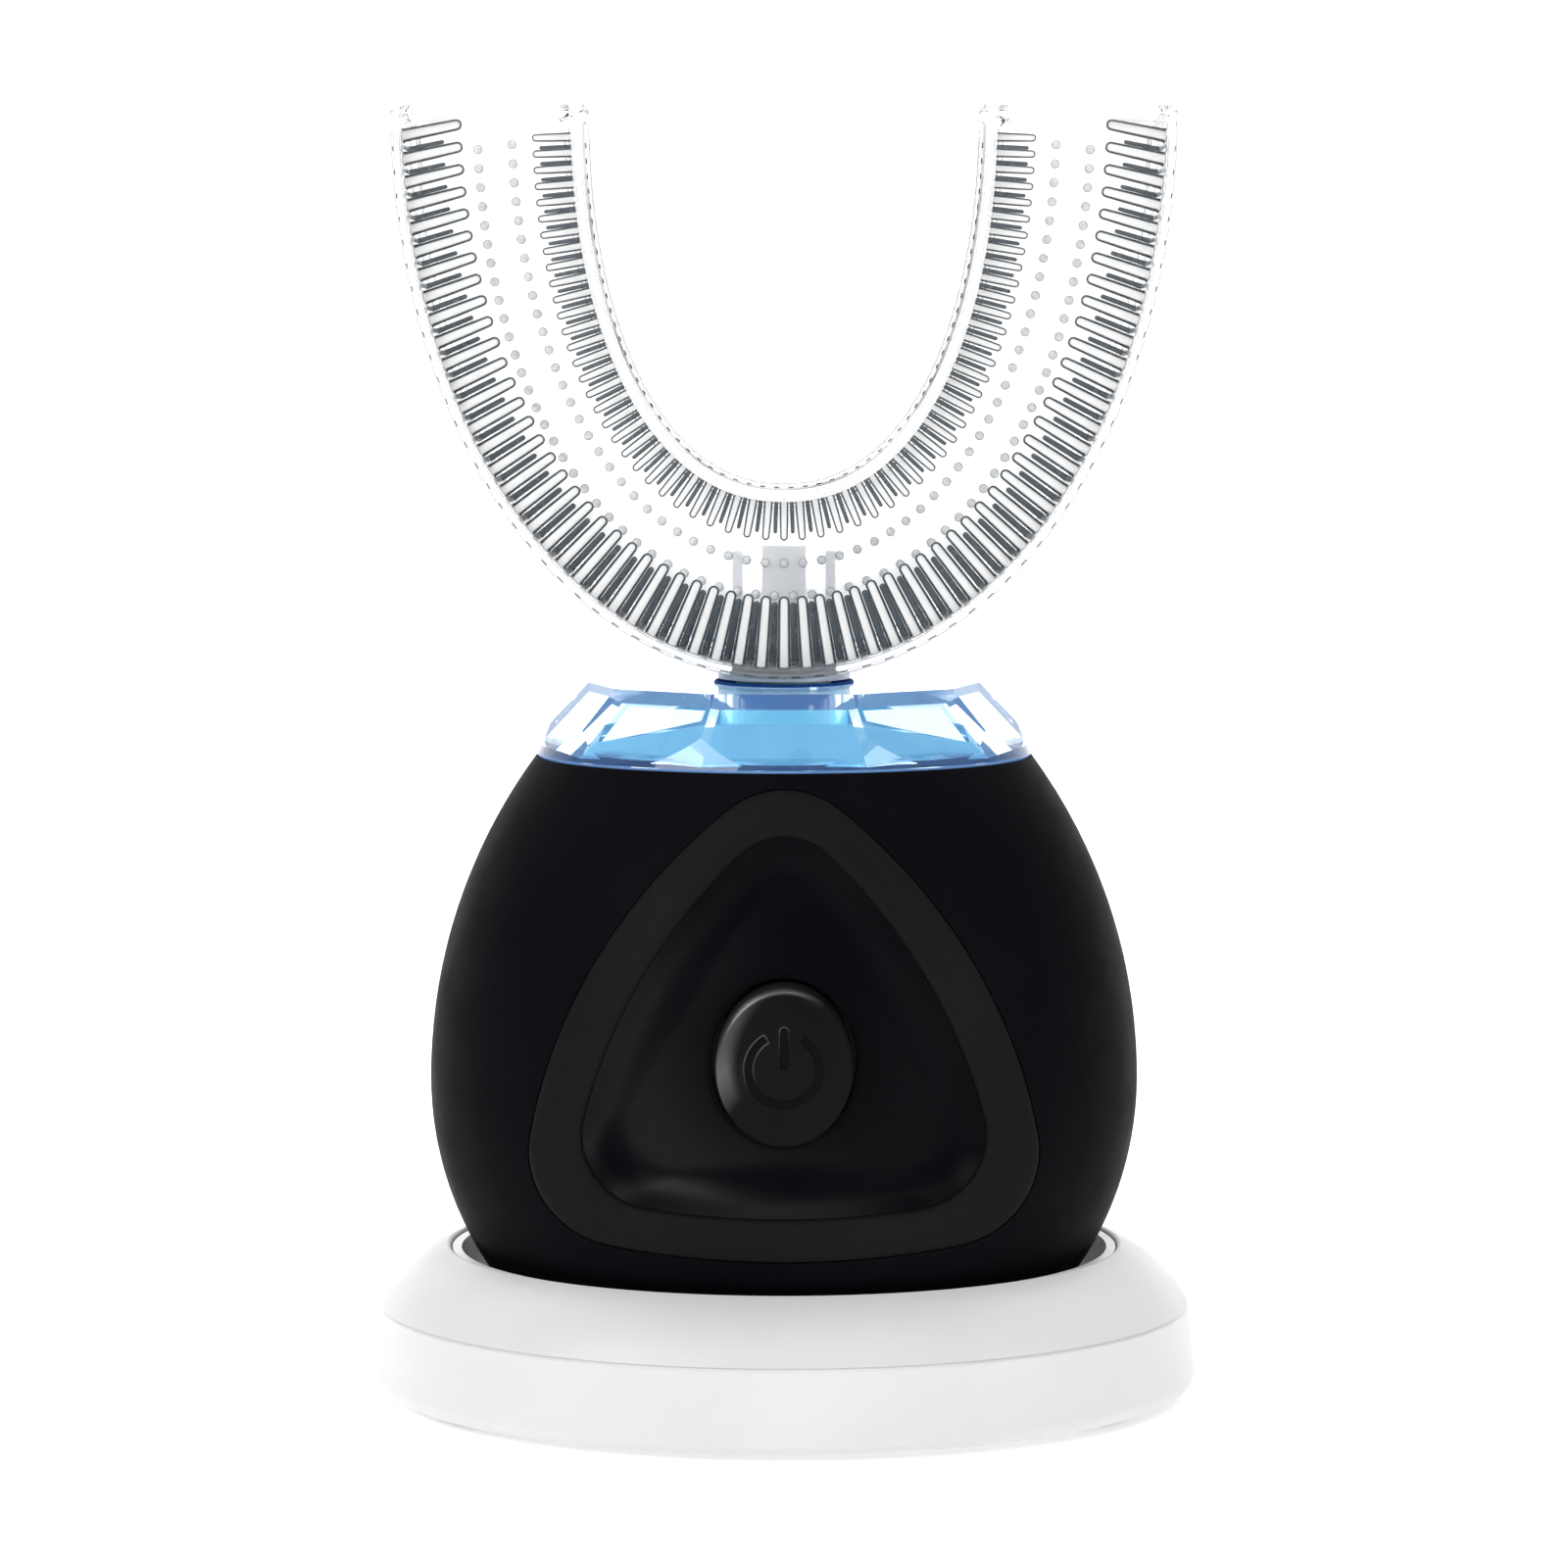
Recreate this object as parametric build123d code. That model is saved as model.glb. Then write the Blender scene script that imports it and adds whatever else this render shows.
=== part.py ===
"""U-shaped mouthpiece toothbrush standing in its oval charging base.

Units are millimetres, +Z is up and -Y is the front, where the power button is.
The origin is the middle of the base's underside, on the surface it stands on.
"""
from build123d import *
import math
import os

os.makedirs("parts", exist_ok=True)

# ---------------------------------------------------------------- driving dimensions
DEPTH = 0.83            # depth over width of every oval plan section

# charging base
FOOT_DROP = 0.6         # how far the rubber feet stand below the bottom plate
PLATE_TOP = 2.0
PLATE_R = 30.85
WALL_TOP = 7.3
BASE_R = 33.3           # half width at the foot of the white wall
BASE_TOP_R = 32.65
LIP_Z = 12.0            # top of the grey sloping ring
LIP_R = 27.1
CUP_FLOOR = 6.9         # seat the handle stands on
CUP_UNDER = 5.7
BOSS_X = 16.5
BOSS_Y = 10.5
FOOT_X = 22.6
FOOT_Y = 11.2
FOOT_R = 4.0

# handle
BODY_Z0 = 7.2           # underside, 0.3 above the seat
BODY_Z1 = 51.6          # top rim
BODY_ZW = 25.5          # height of the widest section
BODY_R = 28.5           # half width there
UPPER_R = 43.9          # radius of the side above the widest section
LOWER_R = 27.5          # radius of the side below it
BODY_CORNER = 4.6
SKIN = 1.8              # wall thickness
FLOOR_TOP = 9.2
CAP_R = 16.95           # bottom cap
BAND_DEEP = 0.9         # groove that takes the trim band
PANEL_OUT = 2.6         # the dished panel lies this far under the outer surface
PANEL_IN = 4.4

# window cap, neck and light
CAP_Z0 = 51.8
CAP_Z1 = 57.4
CAP_TOP_R = 15.7
CAP_SIDE = 19.85
CAP_WALL = 1.6
FACETS = (20, 58, 90, 122, 160)
NECK_R = 5.1
NECK_BORE = 4.3
DECK_TOP = 46.0         # top deck of the chassis

# button
BTN_Z = 29.7
BTN_A = 5.25            # half width
BTN_B = 6.1             # half height
BTN_FRONT = -23.9
BTN_BACK = -17.9
BTN_GAP = 0.3
PCB_FRONT = -15.6
PCB_BACK = -14.6

# drive
SHAFT_R = 2.0
TIP_R = 1.5
SHAFT_Z0 = 24.3
SHOULDER_Z = 49.0
TIP_Z = 56.0
MOTOR_R = 7.5
MOTOR_Z0 = 24.0
MOTOR_Z1 = 44.4

# mouthpiece
U_TOP = 103.0           # height of the arm tips
U_A = 30.4              # half width over the outer wall
U_B = 44.5              # arm tips down to the lowest point
U_N = 2.05
V_A = 15.0              # same for the inner wall
V_B = 29.2
V_N = 2.2
TRAY_HALF = 12.0        # half thickness from front rim to back rim
OUT_WALL = 0.9          # thickness of the outer wall, and of the inner one
IN_WALL = 1.5
WEB_HALF = 1.2          # half thickness of the floor between the two troughs
END_WALL = 1.2
FRONT_ROW = 10.3        # depth of the bristle row near each rim
BACK_ROW = 5.2          # depth of the row behind it, half a pitch along
OUT_PITCH = 1.8
OUT_R = 0.5
OUT_THIN_R = 0.3
IN_PITCH = 1.2
IN_R = 0.36
IN_THIN_R = 0.2
NUB_R = 0.45
NUB_PITCH = 1.5


# ---------------------------------------------------------------- helpers
def save(shape, name):
    """Write one node."""
    solids = shape.solids()
    out = solids[0] if len(solids) == 1 else Compound(list(solids))
    export_step(out, f"parts/{name}.step")


def cyl(x, y, z0, z1, r):
    """Upright round bar."""
    return Pos(x, y, z0) * extrude(Circle(r), z1 - z0)


def ring(ro, ri, z0, z1):
    """Upright round tube on the axis."""
    return Pos(0, 0, z0) * extrude(Circle(ro) - Circle(ri), z1 - z0)


def oval(r, z0, z1):
    """Upright oval slab of half width r."""
    return Pos(0, 0, z0) * extrude(Ellipse(r, r * DEPTH), z1 - z0)


def block(x0, x1, y0, y1, z0, z1):
    """Box by its limits."""
    size = (x1 - x0, y1 - y0, z1 - z0)
    mid = ((x0 + x1) / 2, (y0 + y1) / 2, (z0 + z1) / 2)
    return Pos(*mid) * Box(*size)


def prism(face, y0, y1, taper=0):
    """A face drawn in x and z, run from depth y0 forwards to y1."""
    placed = Plane.XZ.offset(-y0) * face
    return extrude(placed, amount=y0 - y1, taper=taper)


def flatten(solid):
    """Squash a turned shape to the oval plan."""
    return scale(solid, by=(1, DEPTH, 1))


def turned(edges):
    """Revolve a closed profile drawn in radius and height, then squash it."""
    face = Plane.XZ * make_face(edges)
    return flatten(revolve(face, Axis.Z))


def poly(points):
    """Closed polygon edges."""
    return Polyline(*points, close=True)


def join(*items):
    """Fuse several solids."""
    out = items[0]
    for item in items[1:]:
        out = out + item
    return out


def body_form(out, z0, z1, corner):
    """The handle's outer form, round, moved outwards by out, between two heights."""
    upper = UPPER_R + out
    lower = LOWER_R + out
    cu = BODY_R - UPPER_R
    cl = BODY_R - LOWER_R
    rz0 = cl + math.sqrt(lower ** 2 - (BODY_ZW - z0) ** 2)
    rz1 = cu + math.sqrt(upper ** 2 - (z1 - BODY_ZW) ** 2)
    zl = (z0 + BODY_ZW) / 2
    zu = (z1 + BODY_ZW) / 2
    ml = (cl + math.sqrt(lower ** 2 - (BODY_ZW - zl) ** 2), zl)
    mu = (cu + math.sqrt(upper ** 2 - (zu - BODY_ZW) ** 2), zu)
    wide = (BODY_R + out, BODY_ZW)
    edges = Line((0, z0), (rz0, z0)) + ThreePointArc((rz0, z0), ml, wide)
    edges += ThreePointArc(wide, mu, (rz1, z1)) + Line((rz1, z1), (0, z1)) + Line((0, z1), (0, z0))
    form = revolve(Plane.XZ * make_face(edges), Axis.Z)
    if corner:
        low = form.edges().filter_by(GeomType.CIRCLE).sort_by(Axis.Z)[0]
        form = fillet(low, corner)
    return form


def meet(ax, az, ar, bx, bz, br):
    """Right-hand crossing of two circles in x and z."""
    dx = bx - ax
    dz = bz - az
    d = math.hypot(dx, dz)
    along = (ar ** 2 - br ** 2 + d ** 2) / (2 * d)
    up = math.sqrt(ar ** 2 - along ** 2)
    mx = ax + along * dx / d
    mz = az + along * dz / d
    one = (mx + up * dz / d, mz - up * dx / d)
    two = (mx - up * dz / d, mz + up * dx / d)
    return one if one[0] > two[0] else two


def shield(cx, cz, side, zb, bottom, top_r, low_r):
    """Rounded triangle with bowed sides, drawn in x and z."""
    top = (0, cz + math.sqrt(side ** 2 - cx ** 2))
    low = meet(cx, cz, side, 0, zb + bottom, bottom)
    a0 = math.atan2(top[1] - cz, top[0] - cx)
    a1 = math.atan2(low[1] - cz, low[0] - cx)
    am = (a0 + a1) / 2
    mid = (cx + side * math.cos(am), cz + side * math.sin(am))
    edges = ThreePointArc(top, mid, low)
    edges += ThreePointArc(low, (0, zb), (-low[0], low[1]))
    edges += ThreePointArc((-low[0], low[1]), (-mid[0], mid[1]), top)
    face = make_face(edges)
    upper = face.vertices().sort_by(Axis.Y)[-1]
    face = fillet(upper, top_r)
    corners = [v for v in face.vertices() if abs(v.X) > low[0] - 0.01]
    return fillet(corners, low_r)


def facet_points(a):
    """Corners of the faceted plan, half width a."""
    pts = []
    for s in (1, -1):
        for deg in (FACETS if s > 0 else FACETS[::-1]):
            t = math.radians(deg)
            pts.append((s * a * math.sin(t), -a * DEPTH * math.cos(t)))
    return pts


def facet_block(a0, z0, a1, z1):
    """Faceted frustum between two heights."""
    low = Pos(0, 0, z0) * make_face(poly(facet_points(a0)))
    high = Pos(0, 0, z1) * make_face(poly(facet_points(a1)))
    return loft([low, high], ruled=True)


def arch(a, b, n, count=41):
    """Points down one arm of the U, round the bottom and up the other."""
    pts = []
    for i in range(count):
        t = math.pi * i / (count - 1)
        c = math.cos(t)
        s = math.sin(t)
        x = -math.copysign(abs(c) ** (2 / n), c) * a
        z = U_TOP - abs(s) ** (2 / n) * b
        pts.append((x, z))
    pts[0] = (-a, U_TOP)
    pts[-1] = (a, U_TOP)
    return pts


def arch_band(a0, b0, n0, a1, b1, n1):
    """The face between an outer and an inner arch."""
    outer = arch(a0, b0, n0)
    inner = arch(a1, b1, n1)
    down = [(0, -1), (0, 1)]
    edges = Spline(*outer, tangents=down) + Line(outer[-1], inner[-1])
    edges += Spline(*inner, tangents=down) + Line(inner[0], outer[0])
    return make_face(edges)


def stations(a, b, n, pitch, clear, shift=0):
    """Even stations along an arch: position, inward normal and share of depth."""
    fine = arch(a, b, n, 1601)
    total = 0
    runs = [0]
    for p, q in zip(fine, fine[1:]):
        total += math.dist(p, q)
        runs.append(total)
    count = int((total - 2 * clear) / pitch)
    first = (total - count * pitch) / 2
    out = []
    k = 0
    for i in range(count if shift else count + 1):
        want = first + (i + shift) * pitch
        while runs[k + 1] < want:
            k += 1
        f = (want - runs[k]) / (runs[k + 1] - runs[k])
        p = fine[k]
        q = fine[k + 1]
        x = p[0] + (q[0] - p[0]) * f
        z = p[1] + (q[1] - p[1]) * f
        tx = (q[0] - p[0]) / math.dist(p, q)
        tz = (q[1] - p[1]) / math.dist(p, q)
        out.append((x, z, -tz, tx, (U_TOP - z) / b))
    return out


def bristle(r, length):
    """A soft rod with a round tip, growing along +Z from the origin."""
    rod = extrude(Circle(r), length - r)
    return rod + Pos(0, 0, length - r) * Sphere(r)


def wall_bristles(arch_size, pitch, thick, thin, length_at, side):
    """All the bristles of one wall; side is +1 towards the inside of the U."""
    out = []
    for depth, r, shift, tall in ((FRONT_ROW, thick, 0, 1), (BACK_ROW, thin, 0.5, 0.82)):
        for x, z, nx, nz, share in stations(*arch_size, pitch, 2.0, shift):
            rod = bristle(r, tall * length_at(share))
            for y in (-depth, depth):
                root = (x + side * nx * 0.02, y, z + side * nz * 0.02)
                seat = Plane(origin=root, x_dir=(0, 1, 0), z_dir=(side * nx, 0, side * nz))
                out += (seat * rod).solids()
    return Compound(out)


# ---------------------------------------------------------------- charging base
def make_base():
    wall = Line((30.95, FOOT_DROP), (32.3, FOOT_DROP))
    wall += ThreePointArc((32.3, FOOT_DROP), (33.0, 0.95), (BASE_R, 1.7))
    wall += Line((BASE_R, 1.7), (BASE_TOP_R + 0.05, WALL_TOP - 0.3))
    wall += Line((BASE_TOP_R + 0.05, WALL_TOP - 0.3), (BASE_TOP_R - 0.2, WALL_TOP))
    wall += Line((BASE_TOP_R - 0.2, WALL_TOP), (30.6, WALL_TOP))
    wall += Line((30.6, WALL_TOP), (30.0, PLATE_TOP)) + Line((30.0, PLATE_TOP), (30.95, PLATE_TOP))
    wall += Line((30.95, PLATE_TOP), (30.95, FOOT_DROP))
    shell = turned(wall)
    slot = prism(Pos(0, 4.9) * SlotOverall(9.5, 3.7), 30, 20)
    save(shell - slot, "base_shell")

    rim = ThreePointArc((BASE_TOP_R, WALL_TOP), (30.35, 10.15), (LIP_R + 0.3, LIP_Z - 0.05))
    rim += ThreePointArc((LIP_R + 0.3, LIP_Z - 0.05), (LIP_R + 0.05, LIP_Z), (LIP_R - 0.15, LIP_Z - 0.2))
    rim += Line((LIP_R - 0.15, LIP_Z - 0.2), (LIP_R - 0.15, 10.6))
    rim += ThreePointArc((LIP_R - 0.15, 10.6), (29.3, 9.1), (30.9, WALL_TOP))
    rim += Line((30.9, WALL_TOP), (BASE_TOP_R, WALL_TOP))
    save(turned(rim), "base_top_ring")

    bowl = Line((0, CUP_UNDER), (21.0, CUP_UNDER))
    bowl += ThreePointArc((21.0, CUP_UNDER), (25.2, 8.2), (LIP_R - 0.25, 11.75))
    bowl += Line((LIP_R - 0.25, 11.75), (LIP_R - 1.0, 11.75))
    bowl += ThreePointArc((LIP_R - 1.0, 11.75), (24.0, 8.7), (20.4, CUP_FLOOR))
    bowl += Line((20.4, CUP_FLOOR), (0, CUP_FLOOR)) + Line((0, CUP_FLOOR), (0, CUP_UNDER))
    cup = turned(bowl)
    for x in (-BOSS_X, BOSS_X):
        for y in (-BOSS_Y, BOSS_Y):
            cup += cyl(x, y, PLATE_TOP, CUP_UNDER + 0.3, 2.3)
            cup -= cyl(x, y, PLATE_TOP, 5.3, 1.0)
    save(cup, "seat_cup")

    plate = oval(PLATE_R, FOOT_DROP, PLATE_TOP)
    feet = []
    screws = []
    for x in (-1, 1):
        for y in (-1, 1):
            plate -= cyl(x * FOOT_X, y * FOOT_Y, FOOT_DROP, 1.2, FOOT_R + 0.05)
            plate -= cyl(x * BOSS_X, y * BOSS_Y, FOOT_DROP, 1.5, 2.0)
            plate -= cyl(x * BOSS_X, y * BOSS_Y, FOOT_DROP, PLATE_TOP, 1.05)
            plate += cyl(x * 10, y * 10.5, PLATE_TOP, 2.3, 1.6)
            foot = cyl(x * FOOT_X, y * FOOT_Y, 0, 1.2, FOOT_R)
            foot = fillet(foot.edges().sort_by(Axis.Z)[0], 0.35)
            feet.append(foot)
            head = cyl(x * BOSS_X, y * BOSS_Y, 0.75, 1.5, 1.9)
            head -= Pos(x * BOSS_X, y * BOSS_Y, 1.0) * Box(2.4, 0.5, 0.6)
            head -= Pos(x * BOSS_X, y * BOSS_Y, 1.0) * Box(0.5, 2.4, 0.6)
            screws.append(head + cyl(x * BOSS_X, y * BOSS_Y, 1.5, 5.0, 0.95))
    save(plate, "base_bottom_plate")
    save(Compound([s for f in feet for s in f.solids()]), "rubber_feet")
    save(Compound([s for f in screws for s in f.solids()]), "base_screws")

    board = block(-13, 13, -14, 14, 2.3, 3.3) + block(-7, 7, 14, 24, 2.3, 3.3)
    save(board, "base_circuit_board")
    chips = [block(-6.0, -1.5, 14.4, 18.4, 3.3, 4.4), block(1.6, 5.0, 14.8, 18.0, 3.3, 4.3)]
    chips += [block(-12.6, -10.6, 11.2, 13.4, 3.3, 4.2), block(10.6, 12.6, 11.2, 13.4, 3.3, 4.2)]
    save(Compound([s for c in chips for s in c.solids()]), "base_chips")
    save(cyl(0, 0, 3.3, 4.1, 12.6) - cyl(0, 0, 3.3, 4.1, 1.5), "base_ferrite")
    save(wound(5.0, 12.0, 4.1, 5.5), "base_charging_coil")

    tube = prism(Pos(0, 4.9) * SlotOverall(8.94, 3.2), 27.0, 20.2)
    tube -= prism(Pos(0, 4.9) * SlotOverall(8.34, 2.6), 27.0, 21.2)
    tube += block(-3.4, 3.4, 21.2, 26.0, 4.55, 5.25)
    save(tube, "usb_socket")
    weights = [block(20.8, 27.4, -6, 6, PLATE_TOP, 5.0), block(-27.4, -20.8, -6, 6, PLATE_TOP, 5.0)]
    save(Compound([s for w in weights for s in w.solids()]), "base_weights")


def wound(ri, ro, z0, z1):
    """A flat coil: a flat ring with shallow turns pressed in its two faces."""
    coil = ring(ro, ri, z0, z1)
    turns = 5
    step = (ro - ri) / turns
    for i in range(1, turns):
        r = ri + i * step
        coil -= ring(r + 0.12, r - 0.12, z1 - 0.25, z1)
        coil -= ring(r + 0.12, r - 0.12, z0, z0 + 0.25)
    return coil


# ---------------------------------------------------------------- handle
def make_handle():
    """Skin, band and panel are cut while the form is round, then squashed to the oval."""
    outline = shield(-21.6, 15.9, 42.0, 14.4, 114.0, 7.0, 7.0)
    recess = shield(-25.3, 14.9, 42.0, 17.8, 100.0, 5.0, 5.5)
    skin = body_form(0, BODY_Z0, BODY_Z1, BODY_CORNER)
    groove_floor = body_form(-BAND_DEEP, BODY_Z0 + 1, BODY_Z1 + 1, 0)
    inside = body_form(-SKIN, FLOOR_TOP, BODY_Z1 + 1, 3.2)
    shell = skin - inside
    shell -= prism(offset(outline, 0.06), -10, -40) - groove_floor
    shell -= prism(recess, -15, -40)
    shell -= cyl(0, 0, BODY_Z0 - 1, 8.8, CAP_R + 0.05)
    shell -= cyl(0, 0, 8.0, 10.0, 14.6)
    save(flatten(shell), "body_shell")

    proud = body_form(0.12, BODY_Z0, BODY_Z1 + 0.4, 0)
    bed = body_form(-BAND_DEEP + 0.03, BODY_Z0 + 1, BODY_Z1 + 1, 0)
    band = (prism(outline, -10, -40) & proud) - bed
    band -= prism(recess, -5, -45)
    save(flatten(band), "trim_band")

    front = body_form(-PANEL_OUT, BODY_Z0 + 2, BODY_Z1 - 1, 0)
    back = body_form(-PANEL_IN, BODY_Z0 + 1, BODY_Z1, 0)
    panel = (prism(offset(recess, 1.2), -8, -40) & front) - back
    hole = Pos(0, BTN_Z) * Ellipse(BTN_A + BTN_GAP, BTN_B + BTN_GAP)
    panel -= prism(hole, -10, -40)
    save(flatten(panel), "dish_panel")

    cap = oval(CAP_R, BODY_Z0, 8.8) + oval(14.55, 8.8, FLOOR_TOP)
    cap -= oval(16.3, 8.2, 8.8) - oval(15.1, 8.2, 8.8)
    save(cap, "bottom_cap")
    save(oval(16.2, 8.22, 8.8) - oval(15.2, 8.22, 8.8), "bottom_oring")
    save(wound(5.0, 11.8, FLOOR_TOP, 10.4), "receiving_coil")
    save(ring(12.2, 1.5, 10.4, 11.2), "receiving_ferrite")


def make_top():
    gasket = oval(19.7, BODY_Z1, CAP_Z0) - oval(17.7, BODY_Z1, CAP_Z0)
    save(gasket, "window_gasket")

    tall = CAP_Z1 - CAP_Z0
    outer = facet_block(CAP_SIDE / math.cos(math.radians(19)), CAP_Z0, CAP_TOP_R, CAP_Z1)
    skirt = Line((0, CAP_Z0), (CAP_SIDE, CAP_Z0)) + Line((CAP_SIDE, CAP_Z0), (17.2, CAP_Z1))
    skirt += Line((17.2, CAP_Z1), (0, CAP_Z1)) + Line((0, CAP_Z1), (0, CAP_Z0))
    outer = outer & turned(skirt)
    hollow = facet_block(18.4, CAP_Z0, 18.4 - (tall - CAP_WALL) * 0.93, CAP_Z1 - CAP_WALL)
    window = outer - hollow
    window += oval(17.35, 50.3, CAP_Z0 + 0.4) - oval(16.2, 50.3, CAP_Z0 + 0.4)
    window -= cyl(0, 0, CAP_Z0, CAP_Z1 + 1, 5.65)
    save(window, "window_cap")

    plate = oval(17.4, 49.0, 50.1)
    for r in (8.2, 11.0, 13.8):
        plate -= oval(r + 0.35, 49.8, 50.1) - oval(r - 0.35, 49.8, 50.1)
    for deg in (30, 150, 210, 330):
        x = 13.2 * math.cos(math.radians(deg))
        y = 13.2 * DEPTH * math.sin(math.radians(deg))
        plate += cyl(x, y, 47.0, 49.2, 1.2)
    plate -= cyl(0, 0, 40, 60, NECK_R + 0.1)
    save(plate, "light_plate")
    save(oval(17.0, DECK_TOP, 47.0) - cyl(0, 0, 40, 60, NECK_R + 0.4), "led_board")
    leds = []
    for deg in (0, 62, 118, 180, 242, 298):
        x = 11.4 * math.cos(math.radians(deg))
        y = 11.4 * math.sin(math.radians(deg)) * 0.9
        lamp = block(x - 1.4, x + 1.4, y - 1.4, y + 1.4, 47.0, 47.9)
        lamp += Pos(x, y, 47.9) * extrude(Circle(1.0), 0.4)
        leds.append(lamp)
    save(Compound([s for lamp in leds for s in lamp.solids()]), "blue_leds")

    neck = ring(NECK_R, NECK_BORE, DECK_TOP, CAP_Z1 - CAP_WALL)
    neck += ring(6.1, NECK_BORE, 50.1, 51.4)
    save(neck, "neck_tube")
    save(ring(NECK_BORE - 0.02, SHAFT_R + 0.06, DECK_TOP, 48.2), "shaft_seal")
    lip = ring(5.6, 4.5, CAP_Z1 - CAP_WALL, 57.65)
    lip = fillet(lip.edges().sort_by(Axis.Z)[-1], 0.15)
    save(lip, "socket_seal")


def make_inside():
    frame = oval(19.6, 12.0, 13.6) + oval(20.0, 44.4, DECK_TOP)
    frame += block(-11.5, 11.5, 8.6, 10.2, 13.6, 44.4)
    frame += block(-8.2, 8.2, -8.0, 8.6, 21.2, 22.6)
    for x in (-8, 8):
        frame += block(x - 1.1, x + 1.1, -11.0, -8.8, 13.6, 44.4)
        for z in (19.0, 33.6):
            frame += block(x - 1.1, x + 1.1, PCB_BACK, -11.0, z, z + 2.8)
            frame -= prism(Pos(x, z + 1.4) * Circle(0.85), -11.2, PCB_BACK)
    for x in (-16.9, 16.9):
        for y in (-4.8, 4.8):
            frame += cyl(x, y, FLOOR_TOP, 12.0, 1.5)
    frame -= cyl(0, 0, 43, 47, 3.2)
    frame -= block(-12, 12, -20, -13.6, 44, 47)
    for x in (5.4, -5.4):
        frame -= cyl(x, 0, 43, 47, 0.85)
        frame -= cyl(x, 0, 45.0, 47, 1.5)
    save(frame, "chassis")

    cells = []
    pads = []
    for x in (-16, 16):
        cell = cyl(x, 0, 13.6, 42.4, 6.5)
        cell = fillet(cell.edges().filter_by(GeomType.CIRCLE), 0.6)
        cell += cyl(x, 0, 42.4, 43.2, 2.2)
        cells.append(cell)
        pads.append(cyl(x, 0, 43.2, 44.4, 3.0))
    save(Compound([s for c in cells for s in c.solids()]), "battery_cells")
    save(Compound([s for c in pads for s in c.solids()]), "battery_pads")

    can = ring(MOTOR_R, 6.8, MOTOR_Z0, MOTOR_Z1) + ring(7.0, 4.05, 41.4, MOTOR_Z1)
    can += ring(5.0, 2.6, 43.4, MOTOR_Z1)
    for x in (5.4, -5.4):
        can -= cyl(x, 0, 42.6, 45, 0.75)
    save(can, "motor_can")
    end = ring(MOTOR_R, 0.6, 22.6, MOTOR_Z0) + ring(5.2, 4.05, MOTOR_Z0, 26.0)
    save(end, "motor_end_cap")
    upper = ring(4.02, SHAFT_R + 0.05, 41.4, 43.4)
    save(upper, "upper_bearing")
    save(ring(4.02, SHAFT_R + 0.05, MOTOR_Z0, 26.0), "lower_bearing")
    coils = []
    for k in range(4):
        arc = ring(6.75, 4.5, 28.0, 39.6)
        arc -= Rot(0, 0, 45 + 90 * k) * Pos(-20, 0, 34) * Box(40, 60, 20)
        arc -= Rot(0, 0, 45 + 90 * k + 82) * Pos(20, 0, 34) * Box(40, 60, 20)
        coils += arc.solids()
    save(Compound(coils), "motor_coils")
    bolts = []
    for x in (5.4, -5.4):
        bolts.append(cyl(x, 0, 42.7, 45.0, 0.75) + cyl(x, 0, 45.0, DECK_TOP - 0.1, 1.4))
    for x in (-8, 8):
        for z in (20.4, 35.0):
            shank = prism(Pos(x, z) * Circle(0.85), -12.4, PCB_FRONT)
            shank += prism(Pos(x, z) * Circle(1.5), PCB_FRONT, PCB_FRONT - 0.8)
            bolts.append(shank)
    return bolts


def make_board(bolts):
    board = block(-9, 9, PCB_FRONT, PCB_BACK, 17.0, 38.0)
    for x in (-8, 8):
        for z in (20.4, 35.0):
            board -= prism(Pos(x, z) * Circle(0.9), PCB_BACK + 1, PCB_FRONT - 1)
    save(board, "main_circuit_board")
    chips = [block(-4, 4, PCB_BACK, -13.7, 24, 31), block(-4.6, -1.0, PCB_BACK, -13.9, 18.4, 21.4)]
    chips += [block(1.0, 4.6, PCB_BACK, -13.9, 33.2, 36.4)]
    save(Compound([s for c in chips for s in c.solids()]), "main_board_chips")
    switch = block(-3, 3, PCB_FRONT - 1.3, PCB_FRONT, BTN_Z - 3, BTN_Z + 3)
    save(switch, "tact_switch")
    save(prism(Pos(0, BTN_Z) * Circle(1.6), PCB_FRONT - 1.3, PCB_FRONT - 1.7), "switch_plunger")
    upright = [b for b in bolts[:2]]
    save(Compound([s for b in upright for s in b.solids()]), "motor_screws")
    save(Compound([s for b in bolts[2:] for s in b.solids()]), "board_screws")


def make_button():
    cap = prism(Pos(0, BTN_Z) * Ellipse(BTN_A, BTN_B), BTN_BACK, BTN_FRONT)
    rim = cap.edges().filter_by(lambda e: abs(e.center().Y - BTN_FRONT) < 0.01)
    cap = fillet(rim, 1.1)
    dish = prism(Pos(0, BTN_Z) * Ellipse(BTN_A - 1.3, BTN_B - 1.3), BTN_FRONT + 0.45, BTN_FRONT - 1)
    low = dish.edges().filter_by(lambda e: abs(e.center().Y - BTN_FRONT - 0.45) < 0.01)
    dish = fillet(low, 0.4)
    cap -= dish
    cap += prism(Pos(0, BTN_Z) * Ellipse(BTN_A + 0.85, BTN_B + 0.85), BTN_BACK, BTN_BACK - 0.6)
    face = BTN_FRONT + 0.45
    arc = Circle(3.0) - Circle(2.45)
    arc -= make_face(poly([(0, 0), (2.4, 4.0), (-2.4, 4.0)]))
    mark = arc + Pos(0, 1.75) * SlotOverall(3.2, 0.55, rotation=90)
    cap -= prism(Pos(0, BTN_Z) * mark, face + 0.25, face - 1)
    save(cap, "power_button")


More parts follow.
